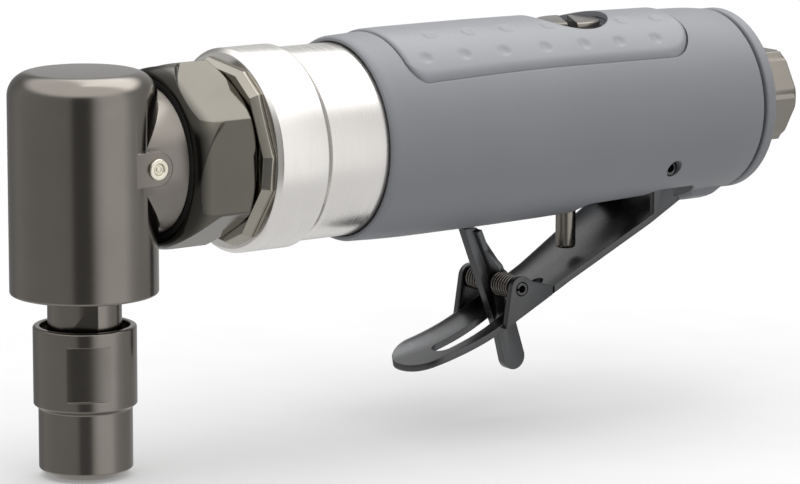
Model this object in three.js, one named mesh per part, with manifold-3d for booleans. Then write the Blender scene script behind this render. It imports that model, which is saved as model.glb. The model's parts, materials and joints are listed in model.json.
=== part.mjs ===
// Right angle air die grinder: an angle head with a collet, an air motor in an aluminium
// housing, a moulded grip, a throttle lever with its lock, and the air inlet.
// Lengths are millimetres. While it is built, the origin is where the spindle axis crosses the
// motor axis: X runs along the motor towards the inlet, and Z runs up along the spindle.
import * as THREE from "three";
import { mergeVertices } from "three/addons/utils/BufferGeometryUtils.js";
import Module from "manifold-3d";

const wasm = await Module();
wasm.setup();

// Clearances that several pieces share
const seatGap = 0.15; // round a piece that is seated in another
const faceGap = 0.3; // between faces that meet
const runGap = 0.25; // round a piece that turns or slides
const overrun = 1; // how far a cut runs past the surface that it leaves

// Counts of facets
const facets = { outer: 48, inner: 24, small: 16, fine: 12 };

// Angle head
const head = { radius: 13.5, top: 17.6, bottom: -23.1, topFillet: 3.8, edgeBreak: 0.5 };
const headBore = { radius: 10.6, top: 8, seatRadius: 6.4, seatTop: 13.6 };
const neck = { radius: 12.8, taperStart: 10.6, taperEnd: 13.6, waist: 11.4, bore: 8.4, end: 19, shoulder: 14.7, flare: 0.1 };
const flange = { radius: 13.9, thickness: 0.9, spigotRadius: 12.5 };
const greasePad = { reach: 7.7, halfHeight: 3.1, height: 0.5, face: 13.1, start: 2.8 };
const greaseFitting = { radius: 1.95, height: 0.6, ball: 0.55, shankRadius: 1, shank: 2 };

// Bevel gears: pitch radii at the large end, depths measured square to the pitch cone
const gearTeeth = 16;
const pinionTeeth = 13;
const bevel = { gearRadius: 8, pinionRadius: 6.5, innerShare: 0.66, addendum: 0.65, dedendum: 1, hubOverlap: 0.5 };
const toothShares = { root: 0.6, tip: 0.2 };
const gearHub = { radius: 5.6, thickness: 2.4 };
const pinionHub = { radius: 4.7, end: 11.6 };

// Spindle, its bearings and the collet
const spindle = {
  pilotRadius: 2.9, pilotTop: 13.2, waistRadius: 3.2, gearRadius: 3.6, journalRadius: 5,
  journalTop: -9.4, neckTop: -19.6, neckRadius: 6.75, threadTop: -31, threadRadius: 6.3, end: -46,
  socketRadius: 4.7, socketTop: -28, mouthRadius: 5.7, taperTop: -38, flat: 11.6,
};
const bearing = { upperLength: 5, lowerLength: 7, lowerTop: -12.2 };
const bearingCap = { bore: 7.1, top: -19.9 };
const collet = { bore: 3.175, top: -29, noseTop: -45.4, noseEnd: -49.8, noseRadius: 4, slit: 0.8 };
const colletNut = {
  top: -28.9, upperRadius: 9.42, shoulder: -43.25, lowerRadius: 8.55, bottom: -56.2,
  step: 0.7, endRadius: 7.16, endChamfer: 1.2, skirtRadius: 8.2, flats: 17,
  flatTop: -31.5, flatBottom: -41.5, mouth: 4.4,
};
const wrenchAngle = { nut: 243.5, spindle: 228.9 }; // plan directions of the flats, degrees

// Coupling between the head and the motor
const couplingNut = {
  front: 13.8, rear: 27.7, lipRadius: 14.9, lipOuter: 15.3, hexRadius: 17.2, apothem: 14.95, domeEnd: 19.2,
  boreRadius: 12.9, boreStart: 16, rearRadius: 14.9, rearChamfer: 1.4, flatStart: 15.7, runoutRadius: 17.5,
  runoutShift: 3.9, turn: 1.3,
};
const dustSeal = { start: 13.9, width: 0.6 };
const jamRing = { start: 28, end: 29.7, wall: 4.6, edgeBreak: 0.3 };
const adapter = { radius: 12.5, start: 19.3, faceX: 29.7, threadRadius: 14.3, end: 33, bore: 6.5 };

// Motor housing
const housing = {
  front: 30, frontRadius: 18.9, frontChamfer: 0.9, frontBore: 14.5, stepX: 41, step: 0.9,
  midRadius: 18.05, coreX: 55.2, coreRadius: 16.4, chamberEnd: 86, coreEnd: 145.3,
  spigotRadius: 9.2, spigotEnd: 146.7,
};
const inletBore = { radius: 6.7, depth: 123.5, passage: 3.6 };
const portZ = -7; // height of the port from the valve to the motor
const exhaustHole = { radius: 1.8, ring: 12.9 };
const exhaustAngles = [28, -8, 152, 188]; // degrees round the motor axis

// Air motor
const motor = {
  plateRadius: 14.3, plateLength: 5, pocketRadius: 7.4, shaftRadius: 4, linerLength: 41,
  chamberRadius: 12, offset: 1.3, rotorRadius: 10.4, shaftBore: 3.1, shaftTail: 6.4,
};
const vane = { count: 5, thickness: 1.4, inner: 5.3, slotFloor: 4.9 };
const linerPort = { width: 3, length: 14, count: 3, pitch: 34 };
const dowel = { radius: 0.9, length: 5, ring: 12.4 };

// Grip
const grip = { start: 54.5, end: 143.8, inner: 16.7, lip: 18.8, lipBore: 18.3, lipLength: 0.8, lipRound: 0.25 };
const gripBelly = [[58, 19.4], [66, 19.6], [86, 19.5], [98, 19.3], [110, 19], [126, 18.6], [138, 18.3], [142, 18]];
const gripEndRadius = 17.5;
const gripPanel = { start: 61.8, end: 130.5, frontWidth: 15.9, rearWidth: 14.6, taperX: 92, corner: 7, rise: 0.45, depth: 0.9 };
const gripCut = { front: 114.5, frontZ: -17.2, rise: -14.7, riseX: 122.4, backX: 132.4, end: 133.3 };
const leverWell = { clearance: 0.5, front: 105.6, rear: 133 };
const gripBoss = { start: 133.3, end: 141, rise: 1, halfWidth: 8, rearSlope: 1.2 };
const scoop = { forward: 1.1, radius: 8.6, floor: 17 };

// Valve and regulator, on one upright axis
const valveX = 108.8;
const valve = { stemRadius: 1.95, endRound: 0.7, leverGap: 1.3, popRadius: 3.8, popLength: 2, boreRadius: 5, boreBottom: -4 };
const valveBush = { radius: 4.6, bottom: -17.6, bore: 2.05, seatBore: 3, seatDepth: 6, port: 1.2 };
const regulator = {
  radius: 6.5, top: 18.6, shoulder: 12.6, plugRadius: 4.6, bottom: 7, cup: 3.1, cupTop: 11.4,
  slotWidth: 1.9, slotDepth: 2.2, groove: 15, edgeBreak: 0.4,
};
const seal = { radius: 5.9, thickness: 1.1 };
const regulatorSlotAngle = 55; // degrees from X in plan
const valveSpring = { wire: 0.6, radius: 2.15, turns: 6 };

// Inlet and exhaust end
const deflector = { start: 144.5, end: 146.9, radius: 17.7, wall: 1.2, round: 0.5 };
const deflectorWindow = { count: 7, pitch: 14, radius: 1.5, ring: 13.1 };
const inlet = {
  hexStart: 147.2, end: 158.7, flats: 17.5, cornerRadius: 9.7, shankRadius: 6.5, shankEnd: 124.2,
  bore: 5.6, boreEnd: 131, passage: 3.9, mouthChamfer: 0.9,
};
const screen = { radius: 5.3, thickness: 0.9, hole: 0.75, ring: 3.1, seatStep: 0.3 };

// Throttle lever: a pressed channel that turns on a cross pin near the inlet
const pivot = { x: 123, z: -10, radius: 1.5, halfLength: 14.6, bore: 0.85, slit: 0.5 };
const lever = {
  halfWidth: 7.6, rearHalf: 9.8, widenFrom: 104, widenTo: 122, sheet: 1.3, dish: 1.2, slope: 28.8,
  bendX: 96, bendZ: -35.75, bendRadius: 79.3, tipAngle: 8.45, rearX: 129.2, wallSheet: 1.35,
  earHalf: 8.75, earFoot: 0.15, earRadius: 2.5, wallRadius: 4.3, wallFront: 122.8,
};
const leverSlot = { fromTip: 8, halfWidth: 2.3, wideLength: 19.4, narrowHalf: 1.6, length: 25.6 };
const leverSteps = { along: 16, tip: 6, across: 8 };
const reliefSlit = { x: 99.6, width: 0.9, depth: 1.6 };
const earBase = { front: 88.2, rear: 98.6 };

// Lock lever, its pin and its springs
const lockPin = { x: 91.9, z: -31.3, radius: 1.25, bore: 0.7, slit: 0.45, proud: 0.1 };
const lock = { halfThickness: 1, hubRadius: 2.9 };
const lockTop = { frontX: 83.8, rearX: 86.8, z: -20 };
const lockFoot = { frontX: 92.3, frontZ: -42, rearX: 96.2, rearZ: -39.2, endX: 95.9, endZ: -46.3, radius: 2.45 };
const lockFlange = { topDrop: 0.2, bottomDrop: 8.6, topWidth: 1.5, bottomWidth: 4.3, sheet: 1.1 };
const lockSpring = { wire: 0.5, radius: 2.05, gap: 0.44 };

// Finishes
function metal(color, roughness, metalness = 1) {
  return () => new THREE.MeshStandardMaterial({ color, roughness, metalness });
}
const finishes = {
  bronzedSteel: metal(0x5f564f, 0.32),
  polishedBronze: metal(0x6b6156, 0.2),
  turnedAluminium: metal(0xd9dadc, 0.3),
  greyComposite: metal(0x77797e, 0.55, 0),
  paleComposite: metal(0x7f8488, 0.42, 0),
  blackOxide: metal(0x3b3b3a, 0.38, 0.9),
  bareSteel: metal(0xa39d94, 0.3),
  bearingSteel: metal(0xb9bcc0, 0.25),
  springSteel: metal(0x2e2d2c, 0.35, 0.9),
  brass: metal(0xcdbb86, 0.3),
  blackRubber: metal(0x1c1c1c, 0.75, 0),
  vaneResin: metal(0x5a4630, 0.7, 0),
};

// Shape helpers

function radians(degrees) {
  return THREE.MathUtils.degToRad(degrees);
}

// Points of a circular arc, angles in degrees
function arc(cx, cy, radius, from, to, steps) {
  return Array.from({ length: steps + 1 }, (_, i) => {
    const a = radians(from + ((to - from) * i) / steps);
    return [cx + radius * Math.cos(a), cy + radius * Math.sin(a)];
  });
}

// A geometry turned into a solid whose faces point out
function solid(geometry) {
  const bare = new THREE.BufferGeometry();
  bare.setAttribute("position", geometry.getAttribute("position"));
  if (geometry.index) bare.setIndex(geometry.index);
  const merged = mergeVertices(bare, 1e-4);
  const vertProperties = new Float32Array(merged.getAttribute("position").array);
  const triVerts = new Uint32Array(merged.index.array);
  const made = new wasm.Manifold(new wasm.Mesh({ numProp: 3, vertProperties, triVerts }));
  if (made.volume() > 0) return made;
  for (let i = 0; i < triVerts.length; i += 3) {
    [triVerts[i + 1], triVerts[i + 2]] = [triVerts[i + 2], triVerts[i + 1]];
  }
  return new wasm.Manifold(new wasm.Mesh({ numProp: 3, vertProperties, triVerts }));
}

function geometryOf(made) {
  const mesh = made.getMesh();
  const geometry = new THREE.BufferGeometry();
  geometry.setAttribute("position", new THREE.BufferAttribute(mesh.vertProperties, 3));
  geometry.setIndex(new THREE.BufferAttribute(mesh.triVerts, 1));
  const loose = geometry.toNonIndexed();
  loose.computeVertexNormals();
  return loose;
}

function cut(base, ...tools) {
  return tools.reduce((made, tool) => made.subtract(tool), base);
}

function join(base, ...others) {
  return others.reduce((made, other) => made.add(other), base);
}

// A solid turned from a profile of [radius, height] points round Z, or round X
function turnedZ(profile, segments = facets.inner) {
  const points = profile.map(([r, y]) => new THREE.Vector2(r, y));
  return solid(new THREE.LatheGeometry(points, segments).rotateX(Math.PI / 2));
}

function turnedX(profile, segments = facets.inner) {
  const points = profile.map(([r, y]) => new THREE.Vector2(r, y));
  return solid(new THREE.LatheGeometry(points, segments).rotateZ(-Math.PI / 2));
}

function closed(profile) {
  return [...profile, profile[0]];
}

function rodProfile(radius, from, to) {
  return [[0, from], [radius, from], [radius, to], [0, to]];
}

function ringProfile(inner, outer, from, to) {
  return closed([[inner, from], [outer, from], [outer, to], [inner, to]]);
}

function rodZ(radius, from, to, segments) {
  return turnedZ(rodProfile(radius, from, to), segments);
}

function rodX(radius, from, to, segments) {
  return turnedX(rodProfile(radius, from, to), segments);
}

function rodY(radius, from, to, segments = facets.inner) {
  const points = rodProfile(radius, from, to).map(([r, y]) => new THREE.Vector2(r, y));
  return solid(new THREE.LatheGeometry(points, segments));
}

// A prism: an outline of [a, b] points drawn in one plane and carried along the third axis
const planes = {
  X: [[0, 1, 0], [0, 0, 1], [1, 0, 0]],
  Y: [[1, 0, 0], [0, 0, 1], [0, -1, 0]],
  Z: [[1, 0, 0], [0, 1, 0], [0, 0, 1]],
};

function prism(axis, outline, from, to) {
  const shape = new THREE.Shape(outline.map(([a, b]) => new THREE.Vector2(a, b)));
  const geometry = new THREE.ExtrudeGeometry(shape, { depth: to - from, bevelEnabled: false });
  const [u, v, w] = planes[axis].map((p) => new THREE.Vector3(...p));
  const start = w.clone().multiplyScalar(axis === "Y" ? -to : from);
  return solid(geometry.applyMatrix4(new THREE.Matrix4().makeBasis(u, v, w).setPosition(start)));
}

function block(x0, x1, y0, y1, z0, z1) {
  return prism("Z", [[x0, y0], [x1, y0], [x1, y1], [x0, y1]], z0, z1);
}

function polygon(corners, radius, firstAngle) {
  const step = 360 / corners;
  return arc(0, 0, radius, firstAngle, firstAngle + 360 - step, corners - 1);
}

function sliceOfHex(flats) {
  return flats / 2 / Math.cos(Math.PI / 6);
}

// A round tube through points, with flat ends: rings of equal sides carried without twisting
function tube(points, radius, ringSides) {
  const path = points.map((p) => new THREE.Vector3(...p));
  const last = path.length - 1;
  const tangents = path.map((_, i) =>
    path[Math.min(i + 1, last)].clone().sub(path[Math.max(i - 1, 0)]).normalize(),
  );
  const side = new THREE.Vector3(1, 1, 1).cross(tangents[0]).normalize();
  const vertices = [];
  path.forEach((p, i) => {
    side.addScaledVector(tangents[i], -side.dot(tangents[i])).normalize();
    const other = tangents[i].clone().cross(side);
    for (let k = 0; k < ringSides; k++) {
      const a = (2 * Math.PI * k) / ringSides;
      const q = p.clone().addScaledVector(side, radius * Math.cos(a)).addScaledVector(other, radius * Math.sin(a));
      vertices.push(q.x, q.y, q.z);
    }
  });
  const faces = [];
  for (let i = 0; i < last; i++) {
    for (let k = 0; k < ringSides; k++) {
      const [a, b] = [i * ringSides + k, i * ringSides + ((k + 1) % ringSides)];
      faces.push(a, b, b + ringSides, a, b + ringSides, a + ringSides);
    }
  }
  for (let k = 1; k < ringSides - 1; k++) {
    faces.push(0, k + 1, k);
    faces.push(last * ringSides, last * ringSides + k, last * ringSides + k + 1);
  }
  const geometry = new THREE.BufferGeometry();
  geometry.setAttribute("position", new THREE.Float32BufferAttribute(vertices, 3));
  geometry.setIndex(faces);
  return solid(geometry);
}

// The least gap between stretches of one wound wire that lie more than half a turn apart
function leastGap(points, wire, stepsPerTurn) {
  let least = Infinity;
  points.forEach((p, i) => {
    for (let j = i + Math.ceil(stepsPerTurn / 2) + 1; j < points.length; j++) {
      const distance = Math.hypot(p[0] - points[j][0], p[1] - points[j][1], p[2] - points[j][2]);
      least = Math.min(least, distance - wire);
    }
  });
  return least;
}

// Assembly

const tool = new THREE.Group();
const groups = {};

function place(groupName, name, made, finish) {
  if (!groups[groupName]) {
    groups[groupName] = new THREE.Group();
    groups[groupName].name = groupName;
    tool.add(groups[groupName]);
  }
  const mesh = new THREE.Mesh(geometryOf(made), finish());
  mesh.name = name;
  groups[groupName].add(mesh);
}

// Angle head pieces

const neckShoulderEnd = neck.shoulder + neck.flare;
const flangeEnd = neckShoulderEnd + flange.thickness;

function makeAngleHousing() {
  const barrel = turnedZ(
    [
      [0, head.bottom],
      [head.radius - head.edgeBreak, head.bottom],
      [head.radius, head.bottom + head.edgeBreak],
      ...arc(head.radius - head.topFillet, head.top - head.topFillet, head.topFillet, 0, 90, 5),
      [0, head.top],
    ],
    facets.outer,
  );
  const neckBody = turnedX(
    [
      [0, 0],
      [neck.radius, 0],
      [neck.radius, neck.taperStart],
      [neck.waist, neck.taperEnd],
      [neck.waist, neck.shoulder],
      [flange.radius, neckShoulderEnd],
      [flange.radius, flangeEnd],
      [flange.spigotRadius, flangeEnd],
      [flange.spigotRadius, neck.end],
      [0, neck.end],
    ],
    facets.outer,
  );
  const z = greasePad.height;
  const pad = prism(
    "Y",
    [
      [greasePad.start, z - greasePad.halfHeight],
      ...arc(greasePad.reach, z, greasePad.halfHeight, -90, 90, 8),
      [greasePad.start, z + greasePad.halfHeight],
    ],
    -greasePad.face,
    -neck.radius / 2,
  );
  const fittingHole = rodY(
    greaseFitting.shankRadius + seatGap,
    -greasePad.face - overrun,
    -greasePad.face + greaseFitting.shank + faceGap,
    facets.fine,
  ).translate([greasePad.reach, 0, z]);
  return cut(
    join(barrel, neckBody, pad),
    rodZ(headBore.radius, head.bottom - overrun, headBore.top, facets.outer),
    rodZ(headBore.seatRadius, headBore.top - overrun, headBore.seatTop, facets.inner),
    rodX(neck.bore, 0, neck.end + overrun, facets.inner),
    fittingHole,
  );
}

function makeGreaseFitting() {
  const g = greaseFitting;
  const cupDepth = g.ball;
  return turnedZ([
    [0, -g.shank],
    [g.shankRadius, -g.shank],
    [g.shankRadius, faceGap],
    [g.radius, faceGap],
    [g.radius, g.height - cupDepth / 3],
    [g.radius - cupDepth / 3, g.height],
    [g.ball * 1.6, g.height],
    [g.ball * 1.3, g.height - cupDepth],
    [g.ball, g.height - cupDepth],
    [g.ball * 0.7, g.height - cupDepth / 3],
    [0, g.height - cupDepth / 6],
  ], facets.small)
    .rotate([90, 0, 0])
    .translate([greasePad.reach, -greasePad.face, greasePad.height]);
}

// A bevel gear on Z with its cone's point at the origin and its large end below it
const { gearRadius, pinionRadius } = bevel;

function bevelTeeth(teeth, radius, coneHeight, firstTooth) {
  const slant = Math.hypot(radius, coneHeight);
  const cone = Math.atan2(radius, coneHeight);
  const tip = coneHeight * Math.tan(cone + Math.atan(bevel.addendum / slant));
  const root = coneHeight * Math.tan(cone - Math.atan(bevel.dedendum / slant));
  const pitch = (2 * Math.PI) / teeth;
  const outline = [];
  for (let i = 0; i < teeth; i++) {
    const middle = firstTooth + i * pitch;
    const marks = [[root, -toothShares.root], [tip, -toothShares.tip], [tip, toothShares.tip], [root, toothShares.root]];
    for (const [r, share] of marks) {
      const a = middle + (share * pitch) / 2;
      outline.push([r * Math.cos(a), r * Math.sin(a)]);
    }
  }
  const count = outline.length;
  const vertices = [[0, 0, -coneHeight], [0, 0, -coneHeight * bevel.innerShare]];
  for (const [x, y] of outline) vertices.push([x, y, -coneHeight]);
  for (const [x, y] of outline) {
    vertices.push([x * bevel.innerShare, y * bevel.innerShare, -coneHeight * bevel.innerShare]);
  }
  const faces = [];
  for (let i = 0; i < count; i++) {
    const next = (i + 1) % count;
    const [a, b, c, d] = [2 + i, 2 + next, 2 + count + i, 2 + count + next];
    faces.push(0, b, a, 1, c, d, a, b, d, a, d, c);
  }
  const geometry = new THREE.BufferGeometry();
  geometry.setAttribute("position", new THREE.Float32BufferAttribute(vertices.flat(), 3));
  geometry.setIndex(faces);
  return solid(geometry);
}

const gearHubBottom = -pinionRadius - gearHub.thickness;

function makeDrivenGear() {
  const teeth = bevelTeeth(gearTeeth, gearRadius, pinionRadius, Math.PI / gearTeeth);
  const hub = rodZ(gearHub.radius, gearHubBottom, -pinionRadius + bevel.hubOverlap);
  const bore = rodZ(spindle.gearRadius + seatGap, gearHubBottom - overrun, 0);
  return cut(join(teeth, hub), bore);
}

const pinionShaftRadius = motor.shaftBore - seatGap;
const bearingOneX = pinionHub.end + faceGap;
const pinionBearingLength = 3.2;
const bearingTwoX = neck.end - pinionBearingLength;

function makeDrivePinion() {
  const teeth = bevelTeeth(pinionTeeth, pinionRadius, gearRadius, Math.PI);
  const hubLength = pinionHub.end - gearRadius;
  const hub = rodZ(pinionHub.radius, -gearRadius - hubLength, -gearRadius + bevel.hubOverlap);
  const shaftEnd = adapter.end + faceGap + motor.plateLength + motor.shaftTail;
  const shaft = rodZ(pinionShaftRadius, -shaftEnd, -gearRadius, facets.small);
  return join(teeth, hub, shaft).rotate([0, -90, 0]);
}

function makeSpindle() {
  const s = spindle;
  const body = turnedZ([
    [0, s.pilotTop],
    [s.pilotRadius, s.pilotTop],
    [s.pilotRadius, headBore.top],
    [s.waistRadius, headBore.top],
    [s.waistRadius, 0],
    [s.gearRadius, 0],
    [s.gearRadius, s.journalTop],
    [s.journalRadius, s.journalTop],
    [s.journalRadius, s.neckTop],
    [s.neckRadius, s.neckTop],
    [s.neckRadius, s.threadTop],
    [s.threadRadius, s.threadTop],
    [s.threadRadius, s.end],
    [s.mouthRadius, s.end],
    [s.socketRadius, s.taperTop],
    [s.socketRadius, s.socketTop],
    [0, s.socketTop],
  ]);
  const reach = s.neckRadius + overrun;
  const flatTop = head.bottom - faceGap;
  const flats = [-1, 1].map((side) =>
    block((side * s.flat) / 2, side * reach, -reach, reach, s.threadTop, flatTop).rotate([0, 0, wrenchAngle.spindle]),
  );
  return cut(body, ...flats);
}

function makeCollet() {
  const c = collet;
  const taperTop = spindle.taperTop;
  const bodyRadius = spindle.socketRadius - runGap;
  const noseRadius = spindle.mouthRadius - runGap;
  const body = turnedZ(closed([
    [c.bore, c.top],
    [bodyRadius, c.top],
    [bodyRadius, taperTop],
    [noseRadius, c.noseTop],
    [c.noseRadius, c.noseEnd],
    [c.bore, c.noseEnd],
  ]));
  const slits = [0, 90].map((angle) =>
    block(-noseRadius - overrun, noseRadius + overrun, -c.slit / 2, c.slit / 2, c.noseEnd - overrun, taperTop).rotate([0, 0, angle]),
  );
  return cut(body, ...slits);
}

function makeColletNut() {
  const n = colletNut;
  const threadBore = spindle.threadRadius + runGap;
  const coneTop = collet.noseTop - faceGap * 2;
  const coneRadius = spindle.mouthRadius;
  const body = turnedZ(closed([
    [n.skirtRadius, n.top],
    [n.upperRadius - n.step / 2, n.top],
    [n.upperRadius, n.top - n.step / 2],
    [n.upperRadius, n.shoulder],
    [n.lowerRadius, n.shoulder - n.step],
    [n.lowerRadius, n.bottom + n.endChamfer],
    [n.endRadius, n.bottom],
    [n.mouth, n.bottom],
    [n.mouth, collet.noseEnd - faceGap],
    [coneRadius, coneTop],
    [threadBore, coneTop],
    [threadBore, spindle.threadTop - faceGap],
    [n.skirtRadius, spindle.threadTop - faceGap],
  ]), facets.outer);
  const reach = n.upperRadius + overrun;
  const flats = [-1, 1].map((side) =>
    block((side * n.flats) / 2, side * reach, -reach, reach, n.flatBottom, n.flatTop).rotate([0, 0, wrenchAngle.nut]),
  );
  return cut(body, ...flats);
}

place("angle_head", "angle_housing", makeAngleHousing(), finishes.bronzedSteel);
place("angle_head", "grease_fitting", makeGreaseFitting(), finishes.brass);
place(
  "angle_head",
  "spindle_upper_bearing",
  turnedZ(ringProfile(spindle.pilotRadius + runGap, headBore.seatRadius - seatGap, headBore.top + faceGap, headBore.top + bearing.upperLength)),
  finishes.bearingSteel,
);
place(
  "angle_head",
  "spindle_lower_bearing",
  turnedZ(ringProfile(
    spindle.journalRadius + runGap,
    headBore.radius - seatGap,
    bearing.lowerTop - bearing.lowerLength,
    bearing.lowerTop,
  ), facets.outer),
  finishes.bearingSteel,
);
place(
  "angle_head",
  "bearing_cap",
  turnedZ(ringProfile(bearingCap.bore, headBore.radius - seatGap, head.bottom, bearingCap.top), facets.outer),
  finishes.bronzedSteel,
);
[bearingOneX, bearingTwoX].forEach((x, i) => {
  const ring = ringProfile(pinionShaftRadius + runGap, neck.bore - seatGap, x, x + pinionBearingLength);
  place("angle_head", `pinion_bearing_${i + 1}`, turnedX(ring), finishes.bearingSteel);
});
place("drive", "drive_pinion", makeDrivePinion(), finishes.bearingSteel);
place("drive", "driven_gear", makeDrivenGear(), finishes.bearingSteel);
place("drive", "spindle", makeSpindle(), finishes.bronzedSteel);
place("drive", "collet", makeCollet(), finishes.bareSteel);
place("drive", "collet_nut", makeColletNut(), finishes.bronzedSteel);

// Coupling pieces

// The six flats are cut by a wide tapered cutter, which leaves a curved run out at their front
function makeCouplingNut() {
  const n = couplingNut;
  const domeLength = n.domeEnd - n.front;
  const dome = arc(0, 0, 1, 180, 90, 6).map(([a, b]) => [
    n.lipOuter + b * (n.hexRadius - n.lipOuter),
    n.domeEnd + a * domeLength,
  ]);
  const body = turnedX(closed([
    [n.lipRadius, n.front],
    ...dome,
    [n.hexRadius, n.rear - n.rearChamfer],
    [n.rearRadius, n.rear],
    [n.boreRadius, n.rear],
    [n.boreRadius, n.boreStart],
    [n.lipRadius, n.boreStart],
  ]), facets.outer);
  const height = n.hexRadius - n.apothem + overrun;
  const cutter = solid(new THREE.LatheGeometry([
    new THREE.Vector2(0, -height),
    new THREE.Vector2(n.runoutRadius + height, -height),
    new THREE.Vector2(n.runoutRadius, 0),
    new THREE.Vector2(0, 0),
  ], facets.outer * 2)).translate([n.flatStart + n.runoutRadius, -n.apothem, -n.runoutShift]);
  const flats = [0, 1, 2, 3, 4, 5].map((i) => cutter.rotate([n.turn + i * 60, 0, 0]));
  return cut(body, ...flats);
}

function makeJamRing() {
  const r = jamRing;
  const radius = couplingNut.boreRadius + r.wall;
  const prismBody = prism("X", polygon(12, radius, 0), r.start, r.end);
  const limits = turnedX(closed([
    [couplingNut.boreRadius, r.start],
    [radius - r.edgeBreak, r.start],
    [radius, r.start + r.edgeBreak],
    [radius, r.end - r.edgeBreak],
    [radius - r.edgeBreak, r.end],
    [couplingNut.boreRadius, r.end],
  ]), facets.outer);
  return prismBody.intersect(limits);
}

place("coupling", "coupling_nut", makeCouplingNut(), finishes.polishedBronze);
place(
  "coupling",
  "dust_seal",
  turnedX(ringProfile(
    neck.waist + seatGap,
    couplingNut.lipRadius - seatGap,
    dustSeal.start,
    dustSeal.start + dustSeal.width,
  ), facets.outer),
  finishes.blackRubber,
);
place("coupling", "jam_ring", makeJamRing(), finishes.bronzedSteel);
place(
  "coupling",
  "threaded_adapter",
  turnedX(closed([
    [adapter.bore, adapter.start],
    [adapter.radius, adapter.start],
    [adapter.radius, adapter.faceX],
    [adapter.threadRadius, adapter.faceX],
    [adapter.threadRadius, adapter.end],
    [adapter.bore, adapter.end],
  ]), facets.outer),
  finishes.bareSteel,
);

// Motor pieces

const frontPlateX = adapter.end + faceGap;
const linerX = frontPlateX + motor.plateLength + faceGap;
const linerEnd = linerX + motor.linerLength;
const rearPlateX = linerEnd + faceGap;
const rearPlateEnd = rearPlateX + motor.plateLength;

function makeEndPlate(x, pocketAtFront) {
  const m = motor;
  const floor = m.shaftRadius + runGap;
  const wall = m.plateLength / 3;
  const [from, to] = pocketAtFront ? [x, x + m.plateLength] : [x + m.plateLength, x];
  const step = pocketAtFront ? to - wall : to + wall;
  return turnedX(closed([
    [m.pocketRadius, from],
    [m.plateRadius, from],
    [m.plateRadius, to],
    [floor, to],
    [floor, step],
    [m.pocketRadius, step],
  ]), facets.outer);
}

function makeRotorBearing(x, pocketAtFront) {
  const length = (motor.plateLength * 2) / 3 - faceGap;
  const start = pocketAtFront ? x : x + motor.plateLength - length;
  return turnedX(ringProfile(motor.shaftRadius + runGap, motor.pocketRadius - seatGap, start, start + length));
}

function makeLiner() {
  const outer = rodX(motor.plateRadius, linerX, linerEnd, facets.outer);
  const chamber = rodX(motor.chamberRadius, linerX - overrun, linerEnd + overrun, facets.outer);
  const ports = Array.from({ length: linerPort.count }, (_, i) => {
    const middle = (linerX + linerEnd) / 2;
    const half = linerPort.width / 2;
    return block(middle - linerPort.length / 2, middle + linerPort.length / 2, -half, half, 0, motor.plateRadius + overrun)
      .rotate([(i - (linerPort.count - 1) / 2) * linerPort.pitch, 0, 0]);
  });
  return cut(outer, chamber.translate([0, 0, motor.offset]), ...ports, dowelHole());
}

const dowelX = linerX - dowel.length / 2;

function dowelAt(radius, from, to) {
  return rodX(radius, from, to, facets.fine).translate([0, 0, -dowel.ring - dowel.radius / 2]);
}

function dowelHole() {
  return dowelAt(dowel.radius + seatGap, frontPlateX - overrun, dowelX + dowel.length + faceGap);
}

function makeRotor() {
  const m = motor;
  const body = turnedX(closed([
    [m.shaftBore, frontPlateX + faceGap],
    [m.shaftRadius, frontPlateX + faceGap],
    [m.shaftRadius, linerX + faceGap],
    [m.rotorRadius, linerX + faceGap],
    [m.rotorRadius, linerEnd - faceGap],
    [m.shaftRadius, linerEnd - faceGap],
    [m.shaftRadius, rearPlateEnd],
    [m.shaftBore, rearPlateEnd],
  ]), facets.outer);
  const slots = vaneAngles.map((angle) =>
    block(
      linerX - overrun,
      linerEnd + overrun,
      -vane.thickness / 2 - seatGap,
      vane.thickness / 2 + seatGap,
      vane.slotFloor,
      m.rotorRadius + overrun,
    ).rotate([angle, 0, 0]),
  );
  return cut(body, ...slots);
}

const vaneAngles = Array.from({ length: vane.count }, (_, i) => (360 * i) / vane.count);

function makeVane(angle) {
  const half = vane.thickness / 2;
  const top = motor.rotorRadius - seatGap;
  return block(linerX + faceGap, linerEnd - faceGap, -half, half, vane.inner, top).rotate([angle, 0, 0]);
}

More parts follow.
